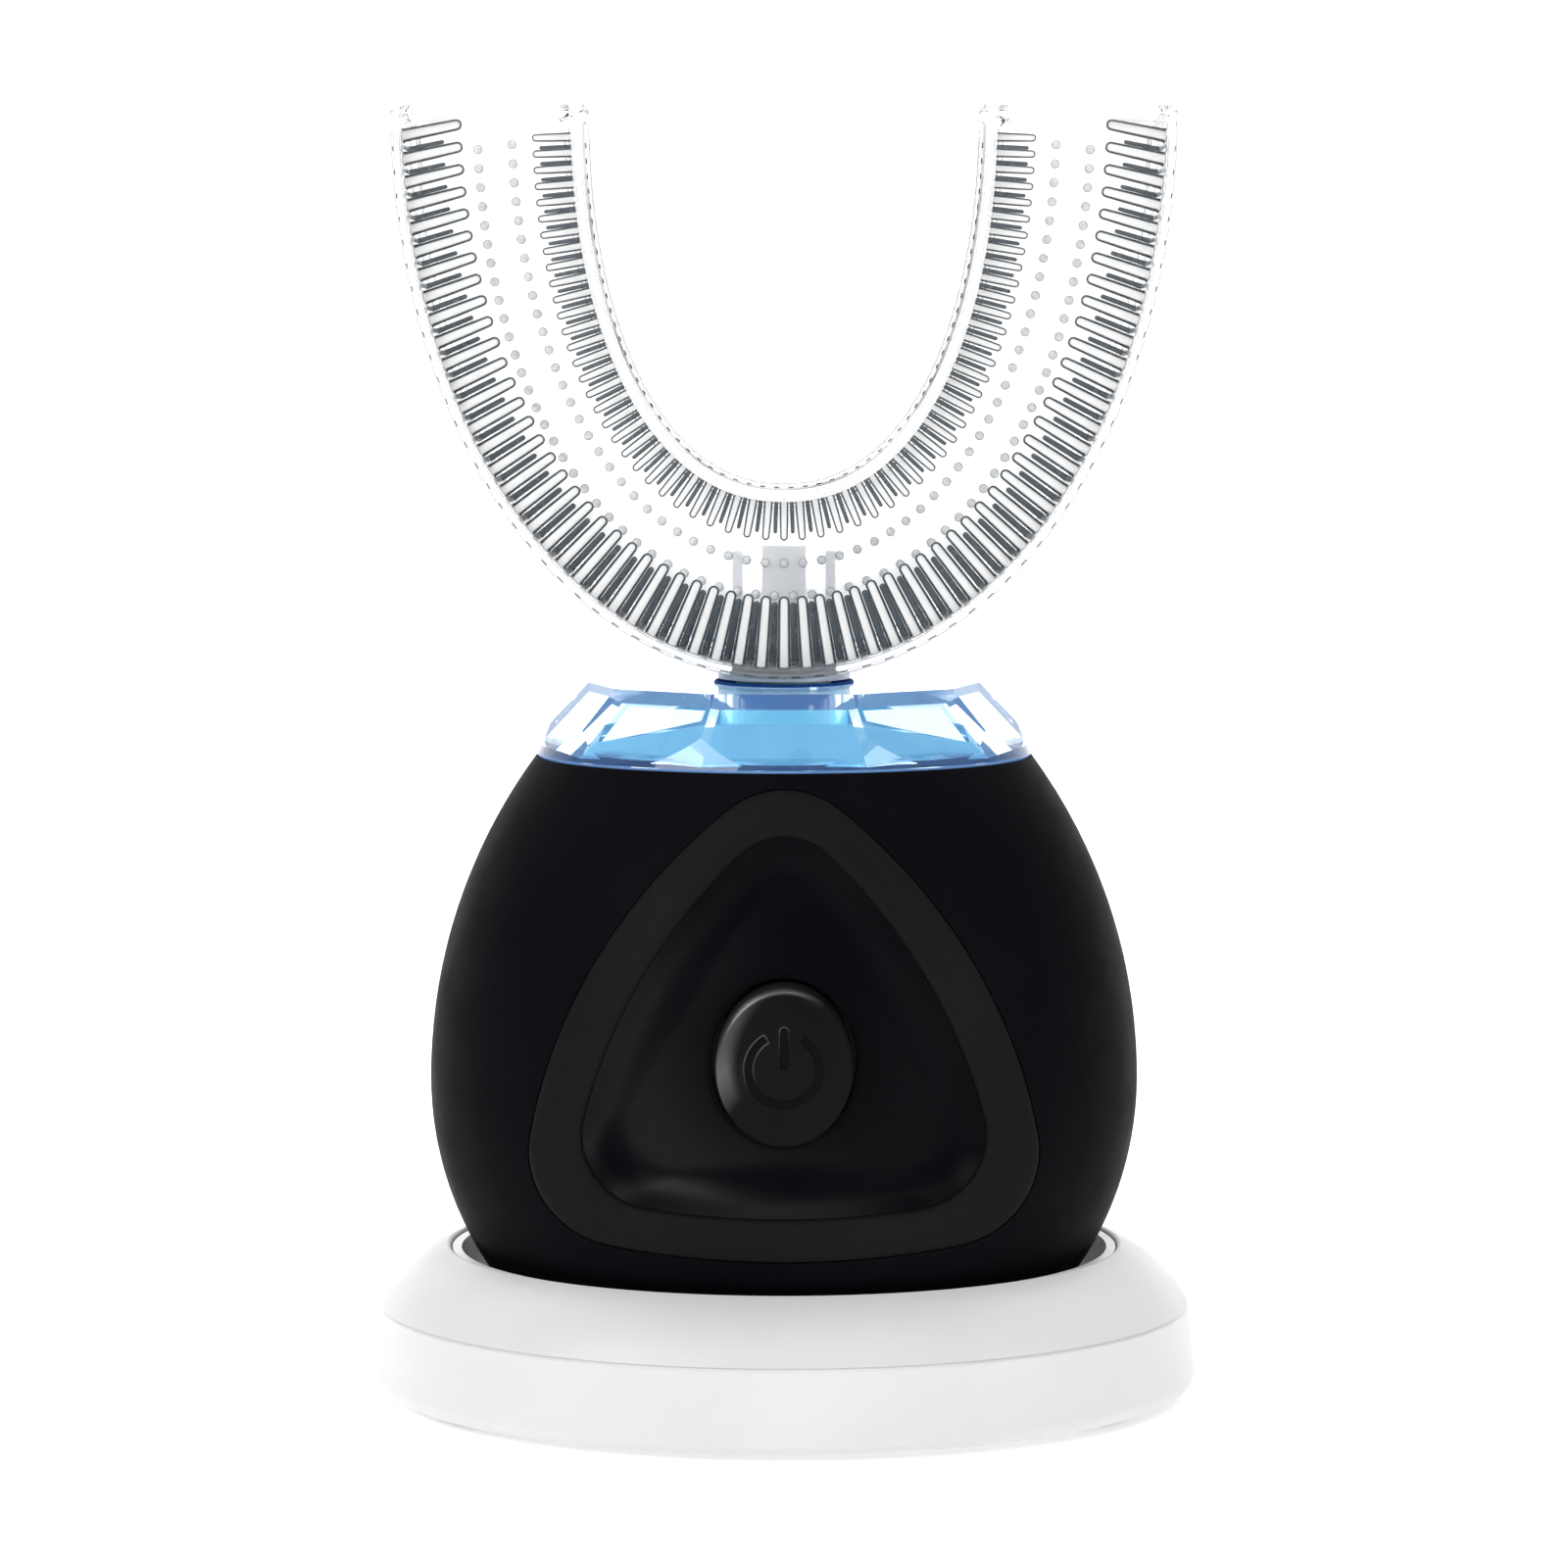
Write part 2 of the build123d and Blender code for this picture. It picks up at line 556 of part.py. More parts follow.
def make_drive():
    shaft = cyl(0, 0, SHAFT_Z0, SHOULDER_Z, SHAFT_R) + cyl(0, 0, SHOULDER_Z, TIP_Z, TIP_R)
    shaft -= block(-3, 3, 1.05, 3, SHOULDER_Z + 1, TIP_Z)
    save(shaft, "drive_shaft")
    save(ring(4.0, SHAFT_R, 28.4, 39.2), "rotor_magnet")
    save(ring(3.4, SHAFT_R, 39.4, 41.0), "shaft_collar")


# ---------------------------------------------------------------- mouthpiece
def make_mouthpiece():
    stem = cyl(0, 0, SHOULDER_Z + 0.3, 58.0, 3.8) - cyl(0, 0, 40, TIP_Z + 0.4, TIP_R + 0.06)
    stem += block(-1.4, 1.4, 1.12, 2.4, SHOULDER_Z + 1.4, TIP_Z)
    stem += cyl(0, 0, 57.8, 58.4, 5.3)
    blade = block(-4.1, 4.1, -0.7, 0.7, 58.1, 62.4) + block(-1.75, 1.75, -0.7, 0.7, 62.4, 68.4)
    blade += block(-4.1, -3.3, -0.7, 0.7, 62.4, 68.0) + block(3.3, 4.1, -0.7, 0.7, 62.4, 68.0)
    save(stem + blade, "mouthpiece_insert")

    outer = (U_A - OUT_WALL, U_B - OUT_WALL, U_N)
    inner = (V_A + IN_WALL, V_B + IN_WALL, V_N)
    band = arch_band(U_A, U_B, U_N, V_A, V_B, V_N)
    tips = [v for v in band.vertices() if v.Y > U_TOP - 0.1]
    band = fillet(tips, 1.2)
    tray = prism(band, TRAY_HALF, -TRAY_HALF)
    channel = arch_band(*outer, *inner)
    limit = Pos(0, U_TOP - END_WALL - 60) * Rectangle(200, 120)
    channel = channel & limit
    tray -= prism(channel, -WEB_HALF, -TRAY_HALF - 1)
    tray -= prism(channel, TRAY_HALF + 1, WEB_HALF)
    tray -= blade
    save(tray, "mouthpiece_tray")

    rods = wall_bristles(outer, OUT_PITCH, OUT_R, OUT_THIN_R, lambda s: 4.7 + 0.9 * s ** 3, 1)
    save(rods, "outer_bristles")
    rods = wall_bristles(inner, IN_PITCH, IN_R, IN_THIN_R, lambda s: 3.1, -1)
    save(rods, "inner_bristles")
    nubs = []
    dome = Sphere(NUB_R) & Pos(0, 0, 5) * Box(10, 10, 10)
    for a, b in ((21.6, 36.0), (24.3, 38.6)):
        for x, z, nx, nz, share in stations(a, b, 2.1, NUB_PITCH, 2.5):
            for s in (-1, 1):
                root = (x, s * (WEB_HALF + 0.01), z)
                nubs += (Plane(origin=root, x_dir=(1, 0, 0), z_dir=(0, s, 0)) * dome).solids()
    save(Compound(nubs), "floor_nubs")


make_base()
make_handle()
make_top()
make_board(make_inside())
make_button()
make_drive()
make_mouthpiece()
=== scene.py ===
"""Looks for the U-shaped toothbrush on its charging base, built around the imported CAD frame."""
import math
from bisect import bisect_left

import bmesh
import bpy
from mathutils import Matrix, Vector


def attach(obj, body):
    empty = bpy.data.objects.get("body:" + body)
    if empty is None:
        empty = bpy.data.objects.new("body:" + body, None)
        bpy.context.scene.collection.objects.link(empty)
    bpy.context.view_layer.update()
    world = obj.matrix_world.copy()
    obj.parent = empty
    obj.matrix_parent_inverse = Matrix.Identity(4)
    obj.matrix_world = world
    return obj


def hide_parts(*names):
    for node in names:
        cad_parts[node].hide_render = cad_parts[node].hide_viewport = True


MM = 0.001

# camera, matched to the front view: metres and degrees
CAMERA_BACK = 0.400
CAMERA_UP = 0.0886
AIM_UP = 0.0492
LENS = 114.8

# mouthpiece, millimetres, the same driving sizes as the CAD tray: U is the outer arch and V the
# inner one, each with its half width A, its height B and its squareness N
U_TOP = 103.0
U_A, U_B, U_N = 30.4, 44.5, 2.05
V_A, V_B, V_N = 15.0, 29.2, 2.2
TRAY_HALF = 12.0
OUT_WALL, IN_WALL = 0.9, 1.5
WEB_HALF = 1.2
END_WALL = 1.2
FRONT_ROW, BACK_ROW = 10.3, 5.2
OUT_PITCH, OUT_R = 1.8, 0.52
IN_PITCH, IN_R = 1.2, 0.36
OUT_TILT = 10
FINGER_SIDES = 12
FINGER_CLEAR = 2.0          # no bristle nearer an arm's tip than this
NUB_ROWS, NUB_N = ((21.6, 36.0), (24.3, 38.6)), 2.1
NUB_PITCH, NUB_R, NUB_CLEAR = 1.5, 0.38, 2.5
NUB_SIDES, NUB_LEVELS = 12, 4
ARCH_STATIONS, TIP_STATIONS = 241, 5
TIP_BRIM = 0.3              # a tip's filling ends this far below the rims

# handle, millimetres: the front surface, the band's outline and the recess inside it
DEPTH = 0.83
BODY_ZW, BODY_R, UPPER_R, LOWER_R = 25.5, 28.5, 43.9, 27.5
BAND_SHIELD = (-21.6, 15.9, 42.0, 14.4, 114.0, 7.0, 7.0)
DISH_SHIELD = (-25.3, 14.9, 42.0, 17.8, 100.0, 5.0, 5.5)
BAND_DEEP, BAND_PROUD = 0.85, 0.12
DISH_EDGE, DISH_RAMP, DISH_FALL, DISH_REACH, DISH_BACK = 0.87, 0.7, 2.6, 4.6, 4.38
BTN_Z, BTN_A, BTN_B, BTN_GAP = 29.7, 5.25, 6.1, 0.3
BTN_FRONT, BTN_BACK = -23.9, -17.9
BTN_FLAT, BTN_CROWN, BTN_STEEP, BTN_EDGE = 3.4, 0.012, 0.44, 0.16
MARK_R, MARK_HALF, MARK_DEEP = 2.72, 0.29, 0.22
FRONT_COUNT = 288           # points round the band, the panel and the button
FLANGE_OUT, FLANGE_DEEP = 1.1, 1.95

# window, millimetres: its inner face leans in by CAP_LEAN for each millimetre up
CAP_Z0, CAP_R, CAP_LEAN, CAP_GAP = 51.8, 18.4, 0.93, 0.35
FACETS = (20, 58, 122, 160, 200, 238, 302, 340)
BLADE_TOP, BLADE_THICK, BLADE_NEAR, BLADE_FAR, BLADE_STEPS = 55.55, 0.35, 25.0, 56.0, 12
BLADE_LOW, BLADE_DROP = 54.8, 1.9
SKIRT_FOOT, SKIRT_HIGH, SKIRT_LOW, SKIRT_STEPS = 52.0, 54.7, 52.8, 10


# ---------------------------------------------------------------- small tools
def srgb(r, g, b):
    """0-255 display colour to linear."""
    out = []
    for v in (r, g, b):
        v = v / 255
        out.append(v / 12.92 if v <= 0.04045 else ((v + 0.055) / 1.055) ** 2.4)
    return (*out, 1.0)


def new_object(name, verts, faces, smooth=True):
    """A mesh object from points in millimetres."""
    mesh = bpy.data.meshes.new(name)
    mesh.from_pydata([tuple(c * MM for c in v) for v in verts], [], faces)
    mesh.validate()
    mesh.update()
    for poly in mesh.polygons:
        poly.use_smooth = smooth
    obj = bpy.data.objects.new(name, mesh)
    bpy.context.scene.collection.objects.link(obj)
    return obj


def outward(obj):
    """Make every face look outwards."""
    bm = bmesh.new()
    bm.from_mesh(obj.data)
    bmesh.ops.recalc_face_normals(bm, faces=bm.faces)
    bm.to_mesh(obj.data)
    bm.free()


# ---------------------------------------------------------------- materials
def ramp_into(mat, source, target, low, high):
    """Link source to target through a colour ramp; low and high are (position, colour)."""
    nodes, links = mat.node_tree.nodes, mat.node_tree.links
    ramp = nodes.new("ShaderNodeValToRGB")
    for element, (position, colour) in zip(ramp.color_ramp.elements, (low, high)):
        element.position = position
        element.color = colour
    links.new(source, ramp.inputs["Fac"])
    links.new(ramp.outputs["Color"], target)


def facing(mat):
    """0 where a surface faces the eye and 1 where it turns away."""
    weight = mat.node_tree.nodes.new("ShaderNodeLayerWeight")
    weight.inputs["Blend"].default_value = 0.5
    return weight.outputs["Facing"]


def principled(name, colour, rough=0.5, **sockets):
    """A Principled material; every keyword is a socket name with _ for space."""
    mat = bpy.data.materials.new(name)
    mat.use_nodes = True
    bsdf = mat.node_tree.nodes["Principled BSDF"]
    bsdf.inputs["Base Color"].default_value = colour
    bsdf.inputs["Roughness"].default_value = rough
    for key, value in sockets.items():
        bsdf.inputs[key.replace("_", " ")].default_value = value
    return mat, bsdf


def noise(mat, scale, detail=3.0, rough=0.5):
    """Noise in the object's own metres."""
    nodes, links = mat.node_tree.nodes, mat.node_tree.links
    coord = nodes.new("ShaderNodeTexCoord")
    tex = nodes.new("ShaderNodeTexNoise")
    tex.inputs["Scale"].default_value = scale
    tex.inputs["Detail"].default_value = detail
    tex.inputs["Roughness"].default_value = rough
    links.new(coord.outputs["Object"], tex.inputs["Vector"])
    return tex


def vary_rough(mat, bsdf, tex, low, high):
    """Roughness that wanders between two values."""
    nodes, links = mat.node_tree.nodes, mat.node_tree.links
    span = nodes.new("ShaderNodeMapRange")
    span.inputs["From Min"].default_value = 0.3
    span.inputs["From Max"].default_value = 0.7
    span.inputs["To Min"].default_value = low
    span.inputs["To Max"].default_value = high
    links.new(tex.outputs["Fac"], span.inputs["Value"])
    links.new(span.outputs["Result"], bsdf.inputs["Roughness"])


def vary_colour(mat, bsdf, tex, dark, light):
    """Colour that wanders between two close tones."""
    ramp_into(mat, tex.outputs["Fac"], bsdf.inputs["Base Color"], (0.35, dark), (0.65, light))


def bump(mat, bsdf, tex, strength, distance):
    """Fine relief from a texture."""
    nodes, links = mat.node_tree.nodes, mat.node_tree.links
    node = nodes.new("ShaderNodeBump")
    node.inputs["Strength"].default_value = strength
    node.inputs["Distance"].default_value = distance
    links.new(tex.outputs["Fac"], node.inputs["Height"])
    links.new(node.outputs["Normal"], bsdf.inputs["Normal"])


def moulded(name, dark, light, low, high, grain=9000, relief=0.06, **sockets):
    """Moulded plastic: two close tones, wandering gloss and a fine spark-eroded grain."""
    mat, bsdf = principled(name, light, **sockets)
    vary_colour(mat, bsdf, noise(mat, 60, 4.0), dark, light)
    vary_rough(mat, bsdf, noise(mat, 260, 4.0), low, high)
    bump(mat, bsdf, noise(mat, grain, 2.0), relief, 0.00005)
    return mat


def metal(name, dark, light, low, high, stretch=None):
    """Metal with fine brushing or turning marks."""
    mat, bsdf = principled(name, light, Metallic=1.0)
    tex = noise(mat, 900, 5.0, 0.6)
    if stretch:
        nodes, links = mat.node_tree.nodes, mat.node_tree.links
        coord = nodes.new("ShaderNodeTexCoord")
        place = nodes.new("ShaderNodeMapping")
        place.inputs["Scale"].default_value = stretch
        links.new(coord.outputs["Object"], place.inputs["Vector"])
        links.new(place.outputs["Vector"], tex.inputs["Vector"])
    vary_colour(mat, bsdf, tex, dark, light)
    vary_rough(mat, bsdf, tex, low, high)
    bump(mat, bsdf, tex, 0.1, 0.00004)
    return mat


def rubber(name, dark, light):
    """Matt rubber with a fine, slightly rough skin."""
    mat, bsdf = principled(name, light, Specular_IOR_Level=0.3)
    vary_colour(mat, bsdf, noise(mat, 120, 4.0), dark, light)
    vary_rough(mat, bsdf, noise(mat, 500, 3.0), 0.7, 0.9)
    bump(mat, bsdf, noise(mat, 5000, 3.0), 0.15, 0.00006)
    return mat


def clear(name, tint, low, high, ior):
    """Clear moulding with faint flow ripples."""
    mat, bsdf = principled(name, tint, Transmission_Weight=1.0, IOR=ior)
    vary_rough(mat, bsdf, noise(mat, 150, 3.0), low, high)
    bump(mat, bsdf, noise(mat, 220, 2.0), 0.02, 0.0002)
    return mat


def glow(name, core, edge, strength, scale=300):
    """Lit plastic, a little brighter in patches."""
    mat, bsdf = principled(name, core, 0.35)
    tex = noise(mat, scale, 2.0)
    ramp_into(mat, tex.outputs["Fac"], bsdf.inputs["Emission Color"], (0.3, edge), (0.7, core))
    bsdf.inputs["Emission Strength"].default_value = strength
    vary_rough(mat, bsdf, tex, 0.25, 0.45)
    return mat


def outline_shaded(name, core, edge, start, stop, low, high, **sockets):
    """Soft clear moulding with a darker line painted along its outline, where it turns from the
    eye: painted shade standing in for the dark edges that refraction gives.
    """
    mat, bsdf = principled(name, core, **sockets)
    ramp_into(mat, facing(mat), bsdf.inputs["Base Color"], (start, core), (stop, edge))
    vary_rough(mat, bsdf, noise(mat, 700, 3.0), low, high)
    bump(mat, bsdf, noise(mat, 1500, 2.0), 0.05, 0.00005)
    return mat


def highlight_gloss(mat, face, slope, way, start, stop):
    """A dull face with glossier slopes; the gloss grows from start to stop mm along way,
    measured from the button's centre. The gloss is placed on the side that faces the lamps, so it
    is partly a painted highlight; the highlight itself still comes from the lamps."""
    nodes, links = mat.node_tree.nodes, mat.node_tree.links
    coord = nodes.new("ShaderNodeTexCoord")
    along = nodes.new("ShaderNodeVectorMath")
    along.operation = "DOT_PRODUCT"
    along.inputs[1].default_value = way
    links.new(coord.outputs["Object"], along.inputs[0])
    reach = nodes.new("ShaderNodeMapRange")
    reach.inputs["From Min"].default_value = (way[2] * BTN_Z + start) * MM
    reach.inputs["From Max"].default_value = (way[2] * BTN_Z + stop) * MM
    links.new(along.outputs["Value"], reach.inputs["Value"])
    both = nodes.new("ShaderNodeMath")
    both.operation = "MULTIPLY_ADD"
    both.inputs[2].default_value = face
    ramp_into(mat, facing(mat), both.inputs[0],
              (0.012, (0, 0, 0, 1)), (0.07, (slope, slope, slope, 1)))
    links.new(reach.outputs["Result"], both.inputs[1])
    links.new(both.outputs["Value"], nodes["Principled BSDF"].inputs["Specular IOR Level"])
    return mat


def lit(mat, colour, strength):
    """Add a soft light of the material's own."""
    bsdf = mat.node_tree.nodes["Principled BSDF"]
    bsdf.inputs["Emission Color"].default_value = colour
    bsdf.inputs["Emission Strength"].default_value = strength
    return mat


def make_materials():
    """Every material, by the name that NODE_LOOK and the pieces ask for."""
    m = {}
    m["base_white"] = moulded("base_white", srgb(211, 211, 212), srgb(216, 216, 217), 0.30, 0.42,
                              Specular_IOR_Level=0.3)
    m["bowl_white"] = moulded("bowl_white", srgb(250, 250, 251), srgb(253, 253, 253), 0.28, 0.40,
                              Specular_IOR_Level=0.3)
    m["ring_grey"] = moulded("ring_grey", srgb(205, 205, 206), srgb(210, 210, 211), 0.32, 0.44,
                             Specular_IOR_Level=0.3)
    m["plate_white"] = moulded("plate_white", srgb(222, 222, 222), srgb(230, 230, 230), 0.45, 0.6,
                               grain=5000, relief=0.2)
    m["black"] = moulded("body_black", srgb(9, 8, 12), srgb(12, 11, 15), 0.46, 0.56,
                         Specular_IOR_Level=0.014)
    m["band"] = moulded("band_black", srgb(22, 22, 22), srgb(25, 25, 25), 0.42, 0.52,
                        Specular_IOR_Level=0.02)
    # dish: glossier towards the lower left, a painted highlight on its left and lower slopes
    m["panel"] = highlight_gloss(moulded("panel_black", srgb(7, 6, 10), srgb(10, 9, 13), 0.32, 0.40),
                        0.03, 0.075, (-0.85, 0.0, -0.53), -1.0, 6.0)
    # button: glossier towards the upper left, a painted highlight on its rim
    m["button"] = highlight_gloss(moulded("button_black", srgb(18, 17, 17), srgb(21, 20, 20), 0.32, 0.40,
                                 grain=7000, relief=0.04), 0.02, 1.0, (-0.75, 0.0, 0.66), 0.8, 3.2)
    m["mark"] = moulded("power_mark", srgb(9, 9, 10), srgb(12, 12, 13), 0.6, 0.7, relief=0.1,
                        Specular_IOR_Level=0.05)
    m["dark"] = moulded("dark_plastic", srgb(28, 28, 30), srgb(38, 38, 40), 0.5, 0.65, relief=0.2)
    m["frame"] = moulded("frame_grey", srgb(120, 122, 126), srgb(134, 136, 140), 0.5, 0.65,
                         relief=0.2)
    m["board_green"] = moulded("board_green", srgb(8, 70, 38), srgb(14, 92, 50), 0.3, 0.45,
                               grain=2500, relief=0.3)
    m["board_white"] = moulded("board_white", srgb(214, 218, 222), srgb(228, 231, 234), 0.35, 0.5)
    m["chip"] = moulded("chip_black", srgb(20, 20, 22), srgb(30, 30, 33), 0.45, 0.6, relief=0.25)
    m["ferrite"] = moulded("ferrite", srgb(46, 44, 44), srgb(60, 57, 56), 0.55, 0.75,
                           grain=3000, relief=0.5)
    m["wrap"] = moulded("cell_wrap", srgb(24, 70, 140), srgb(34, 88, 164), 0.22, 0.35)
    m["foam"] = rubber("foam", srgb(28, 28, 28), srgb(42, 42, 42))
    m["foot"] = rubber("foot_rubber", srgb(96, 97, 99), srgb(112, 113, 115))
    m["seal"] = rubber("seal_grey", srgb(34, 34, 38), srgb(46, 46, 50))
    m["seal_pale"] = rubber("seal_pale", srgb(96, 140, 196), srgb(112, 156, 210))
    m["steel"] = metal("steel", (0.52, 0.53, 0.55, 1), (0.66, 0.67, 0.69, 1), 0.22, 0.38)
    m["drawn"] = metal("drawn_steel", (0.46, 0.47, 0.49, 1), (0.6, 0.61, 0.63, 1), 0.25, 0.42,
                       (1, 1, 0.05))
    m["ground"] = metal("ground_steel", (0.6, 0.61, 0.63, 1), (0.74, 0.75, 0.77, 1), 0.12, 0.24,
                        (0.1, 0.1, 4))
    m["magnet"] = metal("magnet_nickel", (0.42, 0.42, 0.43, 1), (0.52, 0.52, 0.54, 1), 0.2, 0.34)
    m["copper"] = metal("copper", (0.62, 0.24, 0.09, 1), (0.78, 0.36, 0.16, 1), 0.25, 0.4,
                        (1, 1, 6))
    m["plated"] = metal("plated", (0.6, 0.6, 0.62, 1), (0.75, 0.75, 0.77, 1), 0.12, 0.25)
    m["window"] = lit(clear("window_clear", (0.79, 0.88, 0.94, 1), 0.0, 0.05, 1.47),
                      srgb(140, 188, 240), 0.10)
    m["neck"] = lit(clear("neck_clear", (0.68, 0.92, 1.0, 1), 0.02, 0.10, 1.47),
                    srgb(120, 200, 220), 0.2)
    m["plate"] = glow("light_plate", srgb(122, 190, 214), srgb(92, 166, 200), 0.26)
    # blades: their white glow is painted light, not light from the LEDs
    m["blade"] = glow("light_blade", srgb(250, 252, 255), srgb(238, 245, 253), 0.75)
    m["led"] = glow("led_lit", srgb(150, 205, 255), srgb(70, 140, 240), 6.0, 900)
    m["seal_blue"] = rubber("seal_blue", srgb(8, 70, 142), srgb(16, 92, 170))
    m["insert"] = moulded("insert_grey", srgb(224, 229, 236), srgb(232, 236, 242), 0.25, 0.35,
                          Transmission_Weight=0.15)
    m["silicone"] = clear("silicone", (0.985, 0.99, 0.995, 1), 0.03, 0.10, 1.41)
    # the web's own glow is painted light that lifts the shade the bristles cast on it
    m["web"] = lit(moulded("silicone_web", srgb(250, 251, 252), srgb(254, 254, 254), 0.42, 0.55,
                           grain=1200, relief=0.05, Transmission_Weight=0.82, IOR=1.41),
                   srgb(255, 255, 255), 0.16)
    # fingers and nubs: their darker outline is painted shade, not the silicone's own colour
    m["finger"] = outline_shaded("silicone_finger", (0.97, 0.975, 0.98, 1), srgb(56, 64, 70), 0.12, 0.30,
                        0.10, 0.22, Transmission_Weight=0.4, IOR=1.41)
    m["nub"] = outline_shaded("silicone_nub", (0.97, 0.975, 0.98, 1), srgb(112, 120, 126), 0.36, 0.72,
                     0.10, 0.22, Transmission_Weight=0.15, IOR=1.41)
    # thin fingers: their grey is painted shade that darkens the gaps between the bristles
    m["thin"] = outline_shaded("silicone_gap_shade", srgb(104, 112, 118), srgb(58, 66, 72), 0.25, 0.7,
                      0.18, 0.3, Transmission_Weight=0.25, IOR=1.41)
    return m


NODE_LOOK = {
    "base_shell": "base_white", "base_top_ring": "ring_grey", "seat_cup": "bowl_white",
    "base_bottom_plate": "plate_white", "rubber_feet": "foot", "base_screws": "steel",
    "base_circuit_board": "board_green", "base_chips": "chip", "base_ferrite": "ferrite",
    "base_charging_coil": "copper", "usb_socket": "plated", "base_weights": "drawn",
    "body_shell": "black", "bottom_cap": "dark", "bottom_oring": "seal",
    "receiving_coil": "copper", "receiving_ferrite": "ferrite",
    "chassis": "frame", "battery_cells": "wrap", "battery_pads": "foam",
    "main_circuit_board": "board_green", "main_board_chips": "chip", "tact_switch": "steel",
    "switch_plunger": "dark", "board_screws": "steel", "motor_can": "drawn",
    "motor_end_cap": "drawn", "motor_coils": "copper", "upper_bearing": "ground",
    "lower_bearing": "ground", "motor_screws": "steel", "led_board": "board_white",
    "blue_leds": "led", "light_plate": "plate", "neck_tube": "neck", "shaft_seal": "seal_blue",
    "window_cap": "window", "window_gasket": "seal_pale", "drive_shaft": "ground",
    "rotor_magnet": "magnet", "shaft_collar": "ground", "mouthpiece_insert": "insert",
}


def dress_nodes(frame, looks):
    """Give every carried-over CAD node its material."""
    for node, look in NODE_LOOK.items():
        obj = frame["nodes"][node]
        obj.data.materials.clear()
        obj.data.materials.append(looks[look])


# ---------------------------------------------------------------- mouthpiece
def arch_point(a, b, n, t):
    """A point of the U at angle t, 0 at the left tip and pi at the right one."""
    c, s = math.cos(t), math.sin(t)
    x = -math.copysign(abs(c) ** (2 / n), c) * a
    z = U_TOP - abs(s) ** (2 / n) * b
    return x, z


def arch_walk(a, b, n, fine_count):
    """The arch's length, and a function giving x, z and the inward normal a run along it."""
    fine = [arch_point(a, b, n, math.pi * i / fine_count) for i in range(fine_count + 1)]
    runs = [0.0]
    for p, q in zip(fine, fine[1:]):
        runs.append(runs[-1] + math.dist(p, q))

    def at(want):
        k = min(bisect_left(runs, want, 1) - 1, fine_count - 1)
        p, q = fine[k], fine[k + 1]
        step = math.dist(p, q)
        f = min(1.0, (want - runs[k]) / step)
        return (p[0] + (q[0] - p[0]) * f, p[1] + (q[1] - p[1]) * f,
                -(q[1] - p[1]) / step, (q[0] - p[0]) / step)
    return runs[-1], at


def arch_stations(a, b, n):
    """Evenly spaced points and inward normals along an arch."""
    total, at = arch_walk(a, b, n, 3000)
    return [at(total * i / (ARCH_STATIONS - 1)) for i in range(ARCH_STATIONS)]


def pitch_stations(a, b, n, pitch, clear_end, shift=0.0):
    """Stations a fixed pitch apart, as the CAD sets them, each with its share of the way down."""
    total, at = arch_walk(a, b, n, 1600)
    count = int((total - 2 * clear_end) / pitch)
    first = (total - count * pitch) / 2
    out = []
    for i in range(count + (0 if shift else 1)):
        x, z, nx, nz = at(first + (i + shift) * pitch)
        out.append((x, z, nx, nz, (U_TOP - z) / b))
    return out


def rounded(points, steps=4):
    """Round a closed outline's corners: points are (wall, offset, y, radius)."""
    out = []
    n = len(points)
    for i in range(n):
        p, a, b = points[i], points[i - 1], points[(i + 1) % n]
        r = p[3]
        va = Vector((a[1] - p[1], a[2] - p[2])) if a[0] == p[0] else Vector((0, 0))
        vb = Vector((b[1] - p[1], b[2] - p[2])) if b[0] == p[0] else Vector((0, 0))
        if va.length == 0:
            va = Vector((1.0, 0.0))
        if vb.length == 0:
            vb = Vector((1.0, 0.0))
        va.normalize()
        vb.normalize()
        for k in range(steps + 1):
            f = k / steps * math.pi / 2
            da, db = r * (1 - math.sin(f)), r * (1 - math.cos(f))
            out.append((p[0], p[1] + va.x * da + vb.x * db, p[2] + va.y * da + vb.y * db))
    return out


def tray_profile():
    """The H-shaped section. Wall 0 measures from the outer face, wall 1 from the inner face."""
    foot, h, y1 = 0.9, WEB_HALF, TRAY_HALF
    w, v = OUT_WALL, IN_WALL
    lip, fat = 0.42, 0.66
    loop = [
        (0, 0.0, -y1, lip), (0, w, -y1, lip), (0, w, -h, foot),
        (1, v, -h, foot), (1, v, -y1, fat), (1, 0.0, -y1, fat),
        (1, 0.0, y1, fat), (1, v, y1, fat), (1, v, h, foot),
        (0, w, h, foot), (0, w, y1, lip), (0, 0.0, y1, lip),
    ]
    return rounded(loop)


def filled(profile):
    """The same section with both troughs filled up to just under the rims."""
    brim = TRAY_HALF - TIP_BRIM
    out = []
    for wall, off, y in profile:
        inside = off > (IN_WALL if wall else OUT_WALL) - 0.01 and abs(y) < TRAY_HALF - 0.7
        out.append((wall, off, math.copysign(brim, y) if inside else y))
    return out


def tip_rings(profile):
    """Sections near an arm tip: distance from the tip, inset all round, section."""
    solid = filled(profile)
    return [(0.0, 0.62, solid), (0.06, 0.36, solid), (0.22, 0.14, solid), (0.55, 0.0, solid),
            (END_WALL - 0.05, 0.0, solid), (END_WALL + 0.12, 0.0, profile)]


def at_run(stations, run):
    """The station a given distance along, between the evenly spaced ones."""
    step = math.dist(stations[0][:2], stations[1][:2])
    f = run / step
    k = min(int(f), len(stations) - 2)
    f -= k
    return tuple(p + (q - p) * f for p, q in zip(stations[k], stations[k + 1]))


